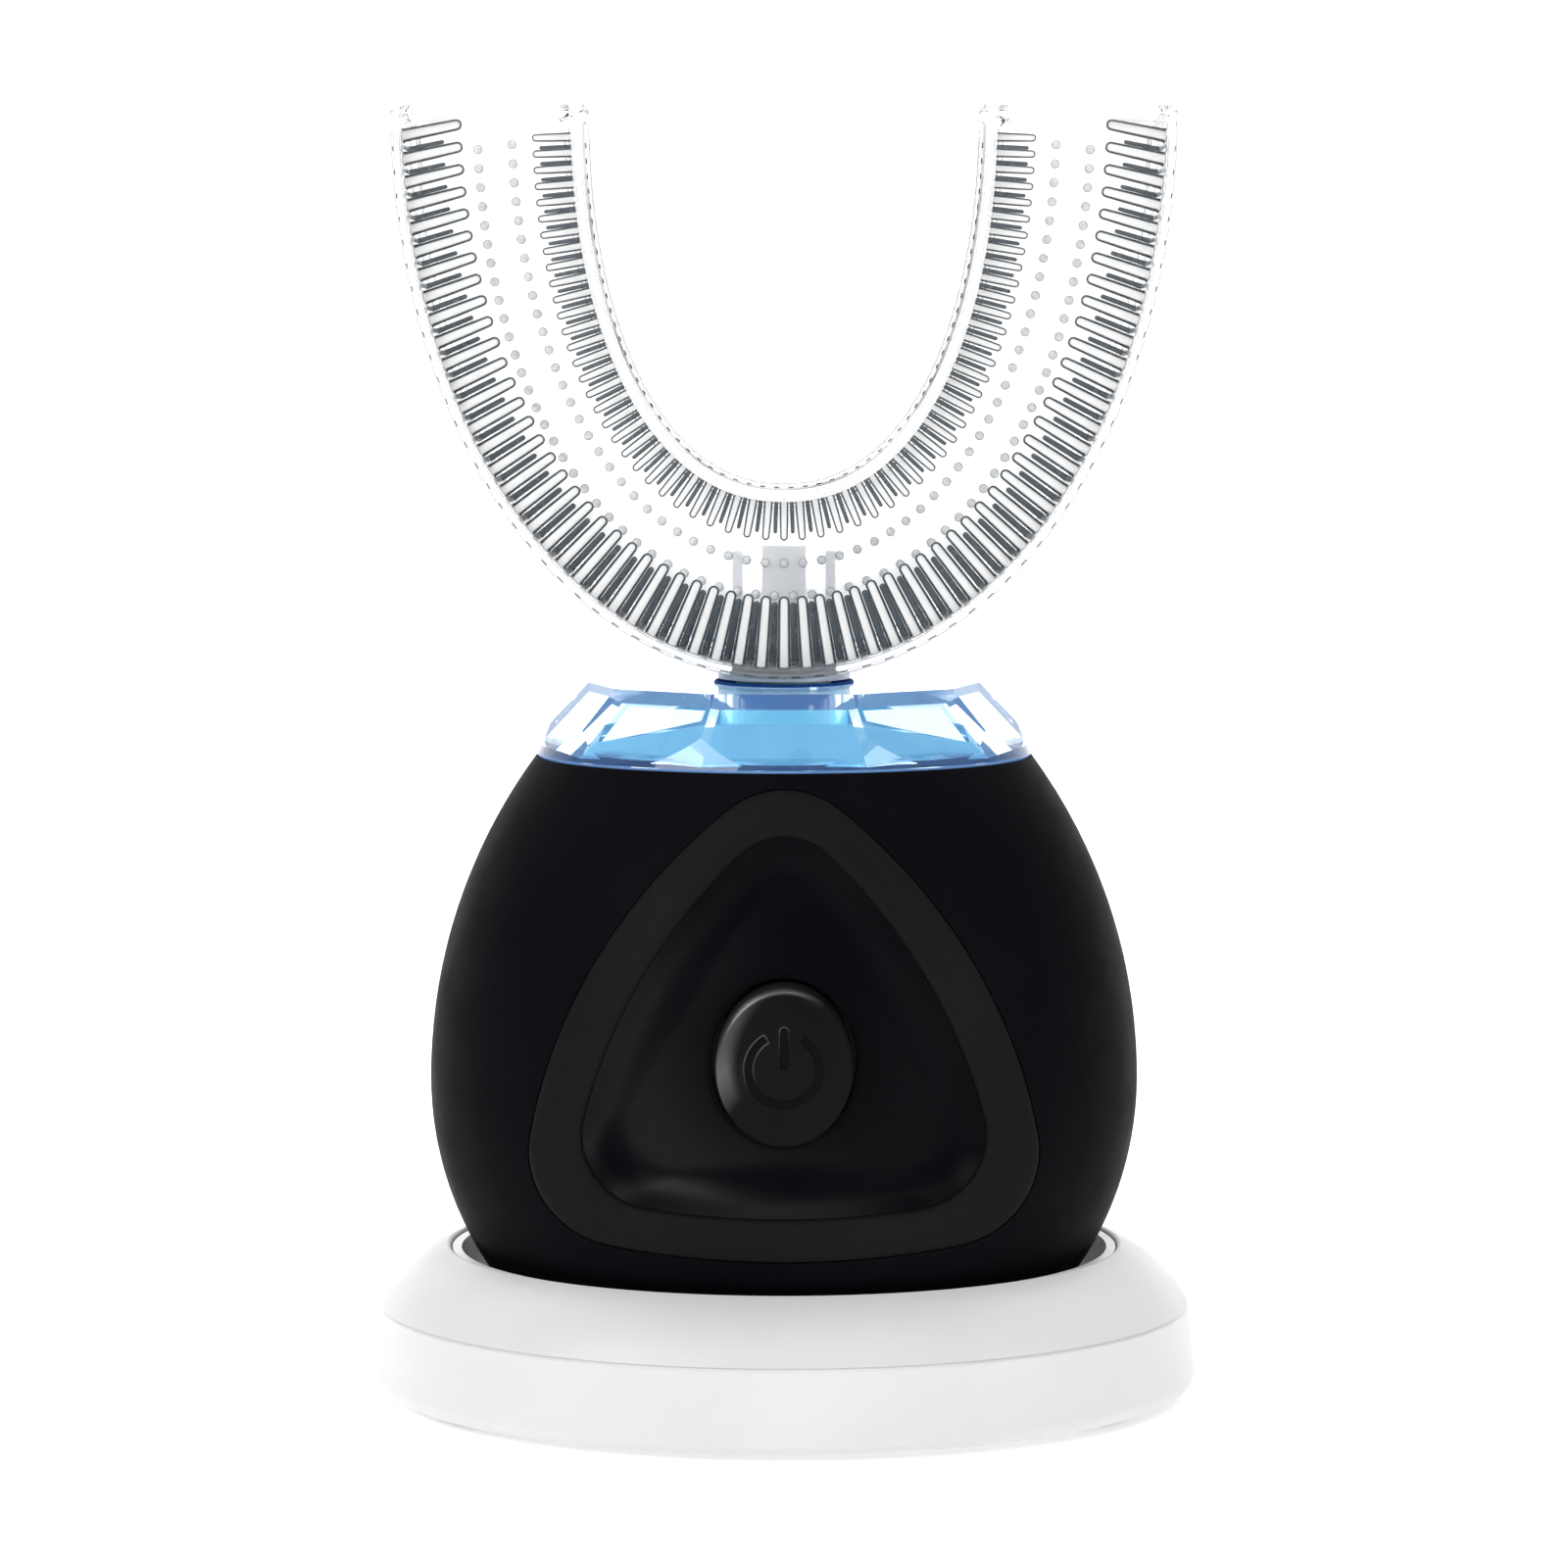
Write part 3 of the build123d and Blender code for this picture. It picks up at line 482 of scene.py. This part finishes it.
def make_tray(wall_mat, web_mat):
    """The silicone U: the section swept round the arch, closed by a rounded wall at each tip."""
    outer = arch_stations(U_A, U_B, U_N)
    inner = arch_stations(V_A, V_B, V_N)
    profile = tray_profile()
    tip = tip_rings(profile)
    middle = slice(TIP_STATIONS, -TIP_STATIONS)
    rings = [(at_run(outer, run), at_run(inner, run), inset, sec) for run, inset, sec in tip]
    rings += [(o, i, 0.0, profile) for o, i in zip(outer[middle], inner[middle])]
    back_out, back_in = outer[::-1], inner[::-1]
    rings += [(at_run(back_out, run), at_run(back_in, run), inset, sec)
              for run, inset, sec in reversed(tip)]
    verts, faces = [], []
    n = len(profile)
    for (ox, oz, onx, onz), (ix, iz, inx, inz), inset, section in rings:
        for wall, off, y in section:
            y *= (TRAY_HALF - inset) / TRAY_HALF
            off = max(off, inset)
            if wall == 0:
                verts.append((ox + onx * off, y, oz + onz * off))
            else:
                verts.append((ix - inx * off, y, iz - inz * off))
    for i in range(len(rings) - 1):
        for j in range(n):
            a = i * n + j
            b = i * n + (j + 1) % n
            faces.append((a, b, b + n, a + n))
    tray = new_object("silicone_tray", verts, faces)
    close_ends(tray)
    outward(tray)
    tray.data.materials.append(wall_mat)
    tray.data.materials.append(web_mat)
    webs = {j for j in range(n) if profile[j][0] != profile[(j + 1) % n][0]}
    for k, poly in enumerate(tray.data.polygons):
        if k < (len(rings) - 1) * n and k % n in webs:
            poly.material_index = 1
    return tray


def close_ends(obj):
    """Fill the open ends of a sweep with flat faces."""
    bm = bmesh.new()
    bm.from_mesh(obj.data)
    bmesh.ops.holes_fill(bm, edges=[e for e in bm.edges if e.is_boundary], sides=0)
    bmesh.ops.triangulate(bm, faces=[f for f in bm.faces if len(f.verts) > 4])
    bm.to_mesh(obj.data)
    bm.free()


def finger_shape(r, length):
    """Rings of one tapering round-tipped finger: (radius, height) pairs from the root."""
    rings = [(r * 1.22, 0.0), (r * 1.06, 0.12), (r, 0.4), (r * 0.94, length * 0.55)]
    tip = r * 0.86
    rings.append((tip, length - tip))
    for k in (1, 2, 3, 4):
        f = k / 5 * math.pi / 2
        rings.append((tip * math.cos(f), length - tip + tip * math.sin(f)))
    return rings


def add_finger(verts, faces, base, axis, rings):
    """Append one finger standing on base; axis is its direction in x and z."""
    sides = FINGER_SIDES
    bx, by, bz = base
    nx, nz = axis
    first = len(verts)
    for r, h in rings:
        for k in range(sides):
            a = 2 * math.pi * k / sides
            u, v = r * math.cos(a), r * math.sin(a)
            verts.append((bx + nx * h - nz * u, by + v, bz + nz * h + nx * u))
    for i in range(len(rings) - 1):
        for k in range(sides):
            a = first + i * sides + k
            b = first + i * sides + (k + 1) % sides
            faces.append((a, b, b + sides, a + sides))
    top = first + (len(rings) - 1) * sides
    tip = len(verts)
    verts.append((bx + nx * rings[-1][1], by, bz + nz * rings[-1][1]))
    for k in range(sides):
        faces.append((top + k, top + (k + 1) % sides, tip))
    faces.append(tuple(first + k for k in reversed(range(sides))))


def make_fingers(name, arch, pitch, size_at, side, mat, depth, shift=0.0, tilt=0.0):
    """The bristles of one kind on one wall, in a row at each side of the web; side is 1 on the
    outer wall and -1 on the inner one."""
    verts, faces = [], []
    a, b, n = arch
    for y in (-depth, depth):
        for x, z, nx, nz, share in pitch_stations(a, b, n, pitch, FINGER_CLEAR, shift):
            lean = math.radians(tilt) * (1 - share) * math.copysign(1, x) * side
            dx = side * (nx * math.cos(lean) + nz * math.sin(lean))
            dz = side * (nz * math.cos(lean) - nx * math.sin(lean))
            root = (x - dx * 0.05, y, z - dz * 0.05)
            add_finger(verts, faces, root, (dx, dz), finger_shape(*size_at(share)))
    obj = new_object(name, verts, faces)
    outward(obj)
    obj.data.materials.append(mat)
    return obj


def make_nubs(mat):
    """The two rows of small domes on each side of the web."""
    verts, faces = [], []
    sides, levels = NUB_SIDES, NUB_LEVELS
    foot = WEB_HALF - 0.02
    for a, b in NUB_ROWS:
        for x, z, *_ in pitch_stations(a, b, NUB_N, NUB_PITCH, NUB_CLEAR):
            for s in (-1, 1):
                first = len(verts)
                for i in range(levels):
                    f = i / levels * math.pi / 2
                    r = NUB_R * math.cos(f)
                    for k in range(sides):
                        t = 2 * math.pi * k / sides
                        y = s * (foot + NUB_R * math.sin(f))
                        verts.append((x + r * math.cos(t), y, z + r * math.sin(t)))
                verts.append((x, s * (foot + NUB_R), z))
                for i in range(levels - 1):
                    for k in range(sides):
                        p = first + i * sides + k
                        q = first + i * sides + (k + 1) % sides
                        faces.append((p, q, q + sides, p + sides))
                top = first + (levels - 1) * sides
                for k in range(sides):
                    faces.append((top + k, top + (k + 1) % sides, len(verts) - 1))
                faces.append(tuple(first + k for k in range(sides)))
    obj = new_object("web_nubs", verts, faces)
    outward(obj)
    obj.data.materials.append(mat)
    return obj


def outer_size(share):
    """Radius and length of an outer bristle, by its share of the way down the arm."""
    return OUT_R, 4.7 + 0.9 * share ** 3


def outer_gap_shade_size(share):
    """The same for the thin finger between two of them; its grey is painted shade for the dark gap
    between the bristles.
    """
    return 0.19 + 0.12 * share ** 2, (0.62 + 0.24 * share ** 3) * outer_size(share)[1]


def inner_size(_share):
    """Radius and length of an inner bristle, the same all the way."""
    return IN_R, 3.1


def inner_gap_shade_size(share):
    """The same for the thin finger between two of them; its grey is painted shade for the dark gap
    between the bristles.
    """
    return 0.18, 0.9 * inner_size(share)[1]


def make_mouthpiece(looks):
    """The tray, its bristles and its nubs."""
    tray = make_tray(looks["silicone"], looks["web"])
    out_arch = (U_A - OUT_WALL, U_B - OUT_WALL, U_N)
    in_arch = (V_A + IN_WALL, V_B + IN_WALL, V_N)
    outer = make_fingers("outer_fingers", out_arch, OUT_PITCH, outer_size, 1,
                         looks["finger"], FRONT_ROW, tilt=OUT_TILT)
    # thin grey fingers in the gaps between the bristles carry painted shade
    outer_thin = make_fingers("outer_gap_shade_fingers", out_arch, OUT_PITCH, outer_gap_shade_size, 1,
                              looks["thin"], BACK_ROW, shift=0.5, tilt=OUT_TILT)
    inner = make_fingers("inner_fingers", in_arch, IN_PITCH, inner_size, -1,
                         looks["finger"], FRONT_ROW)
    inner_thin = make_fingers("inner_gap_shade_fingers", in_arch, IN_PITCH, inner_gap_shade_size, -1,
                              looks["thin"], BACK_ROW, shift=0.5)
    nubs = make_nubs(looks["nub"])
    for piece in (tray, outer, outer_thin, inner, inner_thin, nubs):
        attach(piece, "mouthpiece")
    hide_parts("mouthpiece_tray")
    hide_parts("outer_bristles")
    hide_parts("outer_bristles")
    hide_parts("inner_bristles")
    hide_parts("inner_bristles")
    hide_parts("floor_nubs")


# ---------------------------------------------------------------- window
def facet_point(a0, a1, f, z, inset):
    """A point on the flat facet between two angles, inset from the window's inner face."""
    wide = CAP_R - (z - CAP_Z0) * CAP_LEAN - inset
    x0, y0 = math.sin(a0), DEPTH * math.cos(a0)
    x1, y1 = math.sin(a1), DEPTH * math.cos(a1)
    return wide * (x0 + (x1 - x0) * f), wide * (y0 + (y1 - y0) * f), z


def make_skirt(looks):
    """Blue light guide standing around the foot of the window, below the white blades."""
    rings = [[] for _ in range(6)]
    insets = [CAP_GAP + d for d in (0, 0, 0.1, 0.25, 0.35, 0.35)]
    for n, start in enumerate(FACETS):
        end = FACETS[n + 1] if n + 1 < len(FACETS) else FACETS[0] + 360
        for k in range(SKIRT_STEPS):
            f = k / SKIRT_STEPS
            level = (SKIRT_HIGH - BLADE_DROP * f, SKIRT_LOW,
                     SKIRT_LOW + BLADE_DROP * f, SKIRT_HIGH)[n % 4]
            heights = (SKIRT_FOOT, level - 0.12, level, level, level - 0.12, SKIRT_FOOT)
            for ring, z, inset in zip(rings, heights, insets):
                ring.append(facet_point(math.radians(start), math.radians(end), f, z, inset))
    skirt = ring_sheet("light_skirt", rings, len(rings[0]), looks["plate"])
    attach(skirt, "handle")


def make_blades(looks):
    """White glowing sheets behind the four slanting facets of the window; their glow is painted
    light that makes these facets read white.
    """
    verts, faces = [], []
    left, right = FACETS[:2]
    near = (BLADE_NEAR - left) / (right - left)
    far = (BLADE_FAR - left) / (right - left)
    for sx in (-1, 1):
        for sy in (-1, 1):
            first = len(verts)
            for k in range(BLADE_STEPS + 1):
                f = k / BLADE_STEPS
                for z in (BLADE_LOW - BLADE_DROP * f, BLADE_TOP):
                    for inset in (CAP_GAP, CAP_GAP + BLADE_THICK):
                        x, y, z = facet_point(math.radians(left), math.radians(right),
                                              near + (far - near) * f, z, inset)
                        verts.append((sx * x, sy * y, z))
            for k in range(BLADE_STEPS):
                a = first + 4 * k
                for i, j in ((0, 1), (1, 3), (3, 2), (2, 0)):
                    faces.append((a + i, a + j, a + 4 + j, a + 4 + i))
            last = first + 4 * BLADE_STEPS
            faces.append((first, first + 1, first + 3, first + 2))
            faces.append((last, last + 2, last + 3, last + 1))
    blades = new_object("light_blades", verts, faces, smooth=False)
    outward(blades)
    blades.data.materials.append(looks["blade"])
    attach(blades, "handle")


# ---------------------------------------------------------------- front of the handle
def front_y(x, z, d):
    """Depth of the handle's front surface moved outwards by d."""
    big = UPPER_R if z > BODY_ZW else LOWER_R
    r = BODY_R - big + math.sqrt((big + d) ** 2 - (z - BODY_ZW) ** 2)
    return -DEPTH * math.sqrt(r * r - x * x)


def arc_points(cx, cz, r, a0, a1, steps):
    """Points along an arc from angle a0 to a1."""
    return [(cx + r * math.cos(a0 + (a1 - a0) * i / steps),
             cz + r * math.sin(a0 + (a1 - a0) * i / steps)) for i in range(steps + 1)]


def shield_reach(cx, cz, side, zb, bottom, top_r, low_r):
    """How far the rounded triangle reaches from the button's centre, as a function of angle.

    Each side is an arc of radius side round (cx, cz) and the bottom an arc whose lowest point is
    zb; the corners have radii top_r and low_r.
    """
    bz = zb + bottom
    ra, rb = side - low_r, bottom - low_r
    d = math.hypot(-cx, bz - cz)
    along = (ra * ra - rb * rb + d * d) / (2 * d)
    up = math.sqrt(ra * ra - along * along)
    ux, uz = -cx / d, (bz - cz) / d
    lx, lz = cx + ux * along + uz * up, cz + uz * along - ux * up
    tz = cz + math.sqrt((side - top_r) ** 2 - cx * cx)
    top = math.atan2(tz - cz, -cx)
    low = math.atan2(lz - cz, lx - cx)
    under = math.atan2(lz - bz, lx)
    pts = arc_points(0, tz, top_r, math.pi / 2, top, 24)
    pts += arc_points(cx, cz, side, top, low, 60)[1:]
    pts += arc_points(lx, lz, low_r, low, under, 24)[1:]
    pts += arc_points(0, bz, bottom, under, -math.pi / 2, 30)[1:]
    polar = sorted((math.atan2(z - BTN_Z, x), math.hypot(x, z - BTN_Z)) for x, z in pts)

    def reach(angle):
        a = math.atan2(math.sin(angle), abs(math.cos(angle)))
        for (a0, r0), (a1, r1) in zip(polar, polar[1:]):
            if a0 <= a <= a1:
                f = (a - a0) / (a1 - a0) if a1 > a0 else 0.0
                return r0 + (r1 - r0) * f
        return polar[0][1] if a < 0 else polar[-1][1]
    return reach


def ring_sheet(name, rings, count, mat, smooth_angle=40):
    """A closed skin through rings of count points each; the last ring joins the first."""
    verts = [p for ring in rings for p in ring]
    faces = []
    for i in range(len(rings)):
        for j in range(count):
            a = i * count + j
            b = i * count + (j + 1) % count
            c = (i + 1) % len(rings) * count
            faces.append((a, b, c + (j + 1) % count, c + j))
    obj = new_object(name, verts, faces)
    outward(obj)
    obj.data.set_sharp_from_angle(angle=math.radians(smooth_angle))
    obj.data.materials.append(mat)
    return obj


def front_ring(count, radius_at, deep_at):
    """One ring on the handle's front: radius and depth under the surface, by angle."""
    ring = []
    for j in range(count):
        angle = 2 * math.pi * j / count
        r = radius_at(angle)
        x, z = r * math.cos(angle), BTN_Z + r * math.sin(angle)
        ring.append((x, front_y(x, z, deep_at(angle)), z))
    return ring


def make_front(looks):
    """The trim band with rolled shoulders and the dished panel inside it."""
    count = FRONT_COUNT
    outer = shield_reach(*BAND_SHIELD)
    inner = shield_reach(*DISH_SHIELD)
    rings = []
    # (0 outer or 1 inner outline, distance from it, height over the surface)
    section = [(0, 0.02, -BAND_DEEP), (0, 0.02, -0.12), (0, 0.07, 0.0), (0, 0.2, 0.08),
               (0, 0.45, BAND_PROUD), (0, 1.2, BAND_PROUD),
               (1, 1.1, BAND_PROUD), (1, 0.75, 0.08), (1, 0.45, -0.02), (1, 0.22, -0.18),
               (1, 0.07, -0.4), (1, 0.0, -0.65), (1, 0.0, -BAND_DEEP)]
    for edge, gap, d in section:
        if edge == 0:
            rings.append(front_ring(count, lambda a: outer(a) - gap, lambda a: d))
        else:
            rings.append(front_ring(count, lambda a: inner(a) + gap, lambda a: d))
    band = ring_sheet("trim_band_skin", rings, count, looks["band"])

    def hole(angle):
        c, s = math.cos(angle), math.sin(angle)
        a, b = BTN_A + BTN_GAP, BTN_B + BTN_GAP
        return a * b / math.hypot(b * c, a * s)

    rings = [front_ring(count, lambda a: inner(a) + FLANGE_OUT, lambda a: -DISH_BACK),
             front_ring(count, lambda a: inner(a) + FLANGE_OUT, lambda a: -FLANGE_DEEP),
             front_ring(count, lambda a: inner(a) - 0.04, lambda a: -FLANGE_DEEP)]
    steps = 26
    slope = DISH_FALL / (DISH_RAMP + (DISH_REACH - DISH_RAMP) / 2)
    left = DISH_FALL - DISH_RAMP * slope
    for k in range(steps + 1):
        t = (k / steps) ** 1.3

        def radius(a):
            return (inner(a) - 0.04) * (1 - t) + (hole(a) + 0.12) * t

        def deep(a):
            run = (inner(a) - hole(a)) * t
            if run < DISH_RAMP:
                return -DISH_EDGE - run * slope
            v = min(1.0, (run - DISH_RAMP) / (DISH_REACH - DISH_RAMP))
            return -DISH_EDGE - DISH_RAMP * slope - left * (1 - (1 - v) ** 2)
        rings.append(front_ring(count, radius, deep))
    floor = DISH_EDGE + DISH_FALL
    rings.append(front_ring(count, lambda a: hole(a) + 0.03, lambda a: -floor - 0.05))
    rings.append(front_ring(count, hole, lambda a: -floor - 0.2))
    rings.append(front_ring(count, hole, lambda a: -DISH_BACK))
    dish = ring_sheet("dish_panel_skin", rings, count, looks["panel"])
    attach(band, "handle")
    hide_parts("trim_band")
    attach(dish, "handle")
    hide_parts("dish_panel")


def mark_depth(x, z):
    """1 inside the engraved power mark, 0 outside, with a soft edge."""
    r = math.hypot(x, z)
    off_ring = abs(r - MARK_R) - MARK_HALF
    if z > 0 and abs(x) < z * 0.6:
        off_ring = max(off_ring, (z * 0.6 - abs(x)) * 0.85)
    off_bar = math.hypot(x, max(0.0, abs(z - 1.6) - 1.3)) - MARK_HALF
    off = min(off_ring, off_bar)
    return max(0.0, min(1.0, 0.5 - off / 0.14))


def make_button(looks):
    """Convex oval button with a broad rolled rim and an engraved power mark."""
    count, turn = FRONT_COUNT, 16
    angles = [2 * math.pi * j / count for j in range(count)]
    # flat middle, finer where the mark is cut; every ring point is (x, z, drop)
    radii = [0.12 * k for k in range(1, 19)] + [2.2 + 0.065 * k for k in range(18)]
    rings = [[(r * math.cos(a), r * math.sin(a), 0.0) for a in angles] for r in radii]
    for k in range(turn + 1):
        share = k / turn
        drop = BTN_STEEP * (BTN_A - BTN_FLAT) * (share - (1 - (1 - share) ** 3) / 3)
        drop += BTN_EDGE * max(0.0, share - 0.9) * 10
        wide = BTN_FLAT + (BTN_A - BTN_FLAT) * share
        tall = BTN_FLAT + (BTN_B - BTN_FLAT) * share
        rings.append([(math.cos(a) * wide, math.sin(a) * tall, drop) for a in angles])
    deepest = BTN_BACK - BTN_FRONT
    rings.append([(x, z, deepest) for x, z, _ in rings[-1]])
    verts, faces = [(0.0, BTN_FRONT, BTN_Z)], []
    marks = []
    for ring in rings:
        for x, z, drop in ring:
            sunk = mark_depth(x, z) if drop == 0 else 0.0
            crown = BTN_CROWN * (x * x + z * z if drop == 0 else BTN_FLAT ** 2)
            y = BTN_FRONT + min(crown + drop, deepest) + MARK_DEEP * sunk
            verts.append((x, y, BTN_Z + z))
            marks.append(sunk > 0.45)
    for j in range(count):
        faces.append((0, 1 + j, 1 + (j + 1) % count))
    for i in range(len(rings) - 1):
        for j in range(count):
            a = 1 + i * count + j
            b = 1 + i * count + (j + 1) % count
            faces.append((a, b, b + count, a + count))
    last = 1 + (len(rings) - 1) * count
    faces.append(tuple(last + j for j in range(count)))
    button = new_object("power_button_cap", verts, faces)
    outward(button)
    button.data.set_sharp_from_angle(angle=math.radians(50))
    button.data.materials.append(looks["button"])
    button.data.materials.append(looks["mark"])
    marks = [marks[0]] + marks
    for poly in button.data.polygons:
        if len(poly.vertices) <= 4 and all(marks[v] for v in poly.vertices):
            poly.material_index = 1
    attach(button, "power_button")
    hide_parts("power_button")


def make_socket_lip(looks):
    """The flared blue lip that the mouthpiece's stem stands in."""
    count = 128
    section = [(4.55, 55.85), (5.5, 55.85), (5.55, 57.0), (5.6, 57.3), (5.6, 57.52),
               (5.52, 57.62), (5.3, 57.62), (5.1, 57.5), (4.7, 57.1), (4.55, 56.9)]
    angles = [2 * math.pi * j / count for j in range(count)]
    rings = [[(r * math.cos(a), r * math.sin(a), z) for a in angles] for r, z in section]
    lip = ring_sheet("socket_lip", rings, count, looks["seal_blue"])
    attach(lip, "handle")
    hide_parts("socket_seal")


# ---------------------------------------------------------------- stage, light, camera
def make_stage():
    """A white floor that curves up into a white backdrop."""
    half, front, bend, curve, top = 3000, -1500, 900, 400, 2500
    floor = new_object("floor", [(-half, front, 0), (half, front, 0), (half, bend, 0),
                                 (-half, bend, 0)], [(0, 1, 2, 3)], smooth=False)
    wall_pts = []
    for k in range(13):
        f = k / 12 * math.pi / 2
        wall_pts.append((bend + curve * math.sin(f), curve - curve * math.cos(f)))
    wall_pts.append((bend + curve, top))
    verts, faces = [], []
    for y, z in wall_pts:
        verts += [(-half, y, z), (half, y, z)]
    for i in range(len(wall_pts) - 1):
        faces.append((2 * i, 2 * i + 1, 2 * i + 3, 2 * i + 2))
    sweep = new_object("backdrop", verts, faces)
    mat, bsdf = principled("studio_white", srgb(250, 250, 250), 0.9, Specular_IOR_Level=0.1)
    vary_colour(mat, bsdf, noise(mat, 3, 2.0), srgb(247, 247, 247), srgb(251, 251, 251))
    lit(mat, (1, 1, 1, 1), 0.36)
    for obj in (floor, sweep):
        obj.data.materials.append(mat)


def area(name, place, aim, size, power):
    """A white soft light at place, looking at aim; metres and watts."""
    data = bpy.data.lights.new(name, "AREA")
    data.shape = "RECTANGLE"
    data.size, data.size_y = size
    data.energy = power
    lamp = bpy.data.objects.new(name, data)
    lamp.location = place
    lamp.rotation_euler = (Vector(aim) - Vector(place)).to_track_quat("-Z", "Y").to_euler()
    bpy.context.scene.collection.objects.link(lamp)


def make_light():
    """Dim even surroundings and four soft lights; the last one whitens the backdrop."""
    world = bpy.data.worlds.new("studio")
    bpy.context.scene.world = world
    world.use_nodes = True
    back = world.node_tree.nodes["Background"]
    back.inputs["Color"].default_value = (1, 1, 1, 1)
    back.inputs["Strength"].default_value = 0.21
    mid = (0, 0, 0.05)
    area("key", (-0.48, -0.58, 0.52), mid, (0.5, 0.5), 4.4)
    area("side", (0.70, -0.60, 0.22), mid, (0.2, 0.5), 1.9)
    area("front", (0.16, -0.52, 0.84), mid, (0.6, 0.22), 1.6)
    area("wash", (0, 0.45, 1.0), (0, 1.1, 0.2), (2.4, 0.8), 18)


def make_camera():
    """The front view."""
    data = bpy.data.cameras.new("camera")
    data.lens = LENS
    data.sensor_width = 36
    data.clip_start = 0.01
    cam = bpy.data.objects.new("camera", data)
    cam.location = (0, -CAMERA_BACK, CAMERA_UP)
    aim = Vector((0, 0, AIM_UP)) - cam.location
    cam.rotation_euler = aim.to_track_quat("-Z", "Y").to_euler()
    bpy.context.scene.collection.objects.link(cam)
    bpy.context.scene.camera = cam


# ---------------------------------------------------------------- build
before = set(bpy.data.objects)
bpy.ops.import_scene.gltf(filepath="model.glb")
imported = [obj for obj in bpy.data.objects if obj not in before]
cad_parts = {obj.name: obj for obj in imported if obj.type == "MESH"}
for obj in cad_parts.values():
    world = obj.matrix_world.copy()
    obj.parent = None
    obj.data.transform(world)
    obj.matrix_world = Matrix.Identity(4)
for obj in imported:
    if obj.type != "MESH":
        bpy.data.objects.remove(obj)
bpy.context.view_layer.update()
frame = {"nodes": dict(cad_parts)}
bpy.context.scene.view_settings.view_transform = "Standard"
looks = make_materials()
dress_nodes(frame, looks)
make_front(looks)
make_button(looks)
make_socket_lip(looks)
make_skirt(looks)
make_blades(looks)
make_mouthpiece(looks)
make_stage()
make_light()
make_camera()
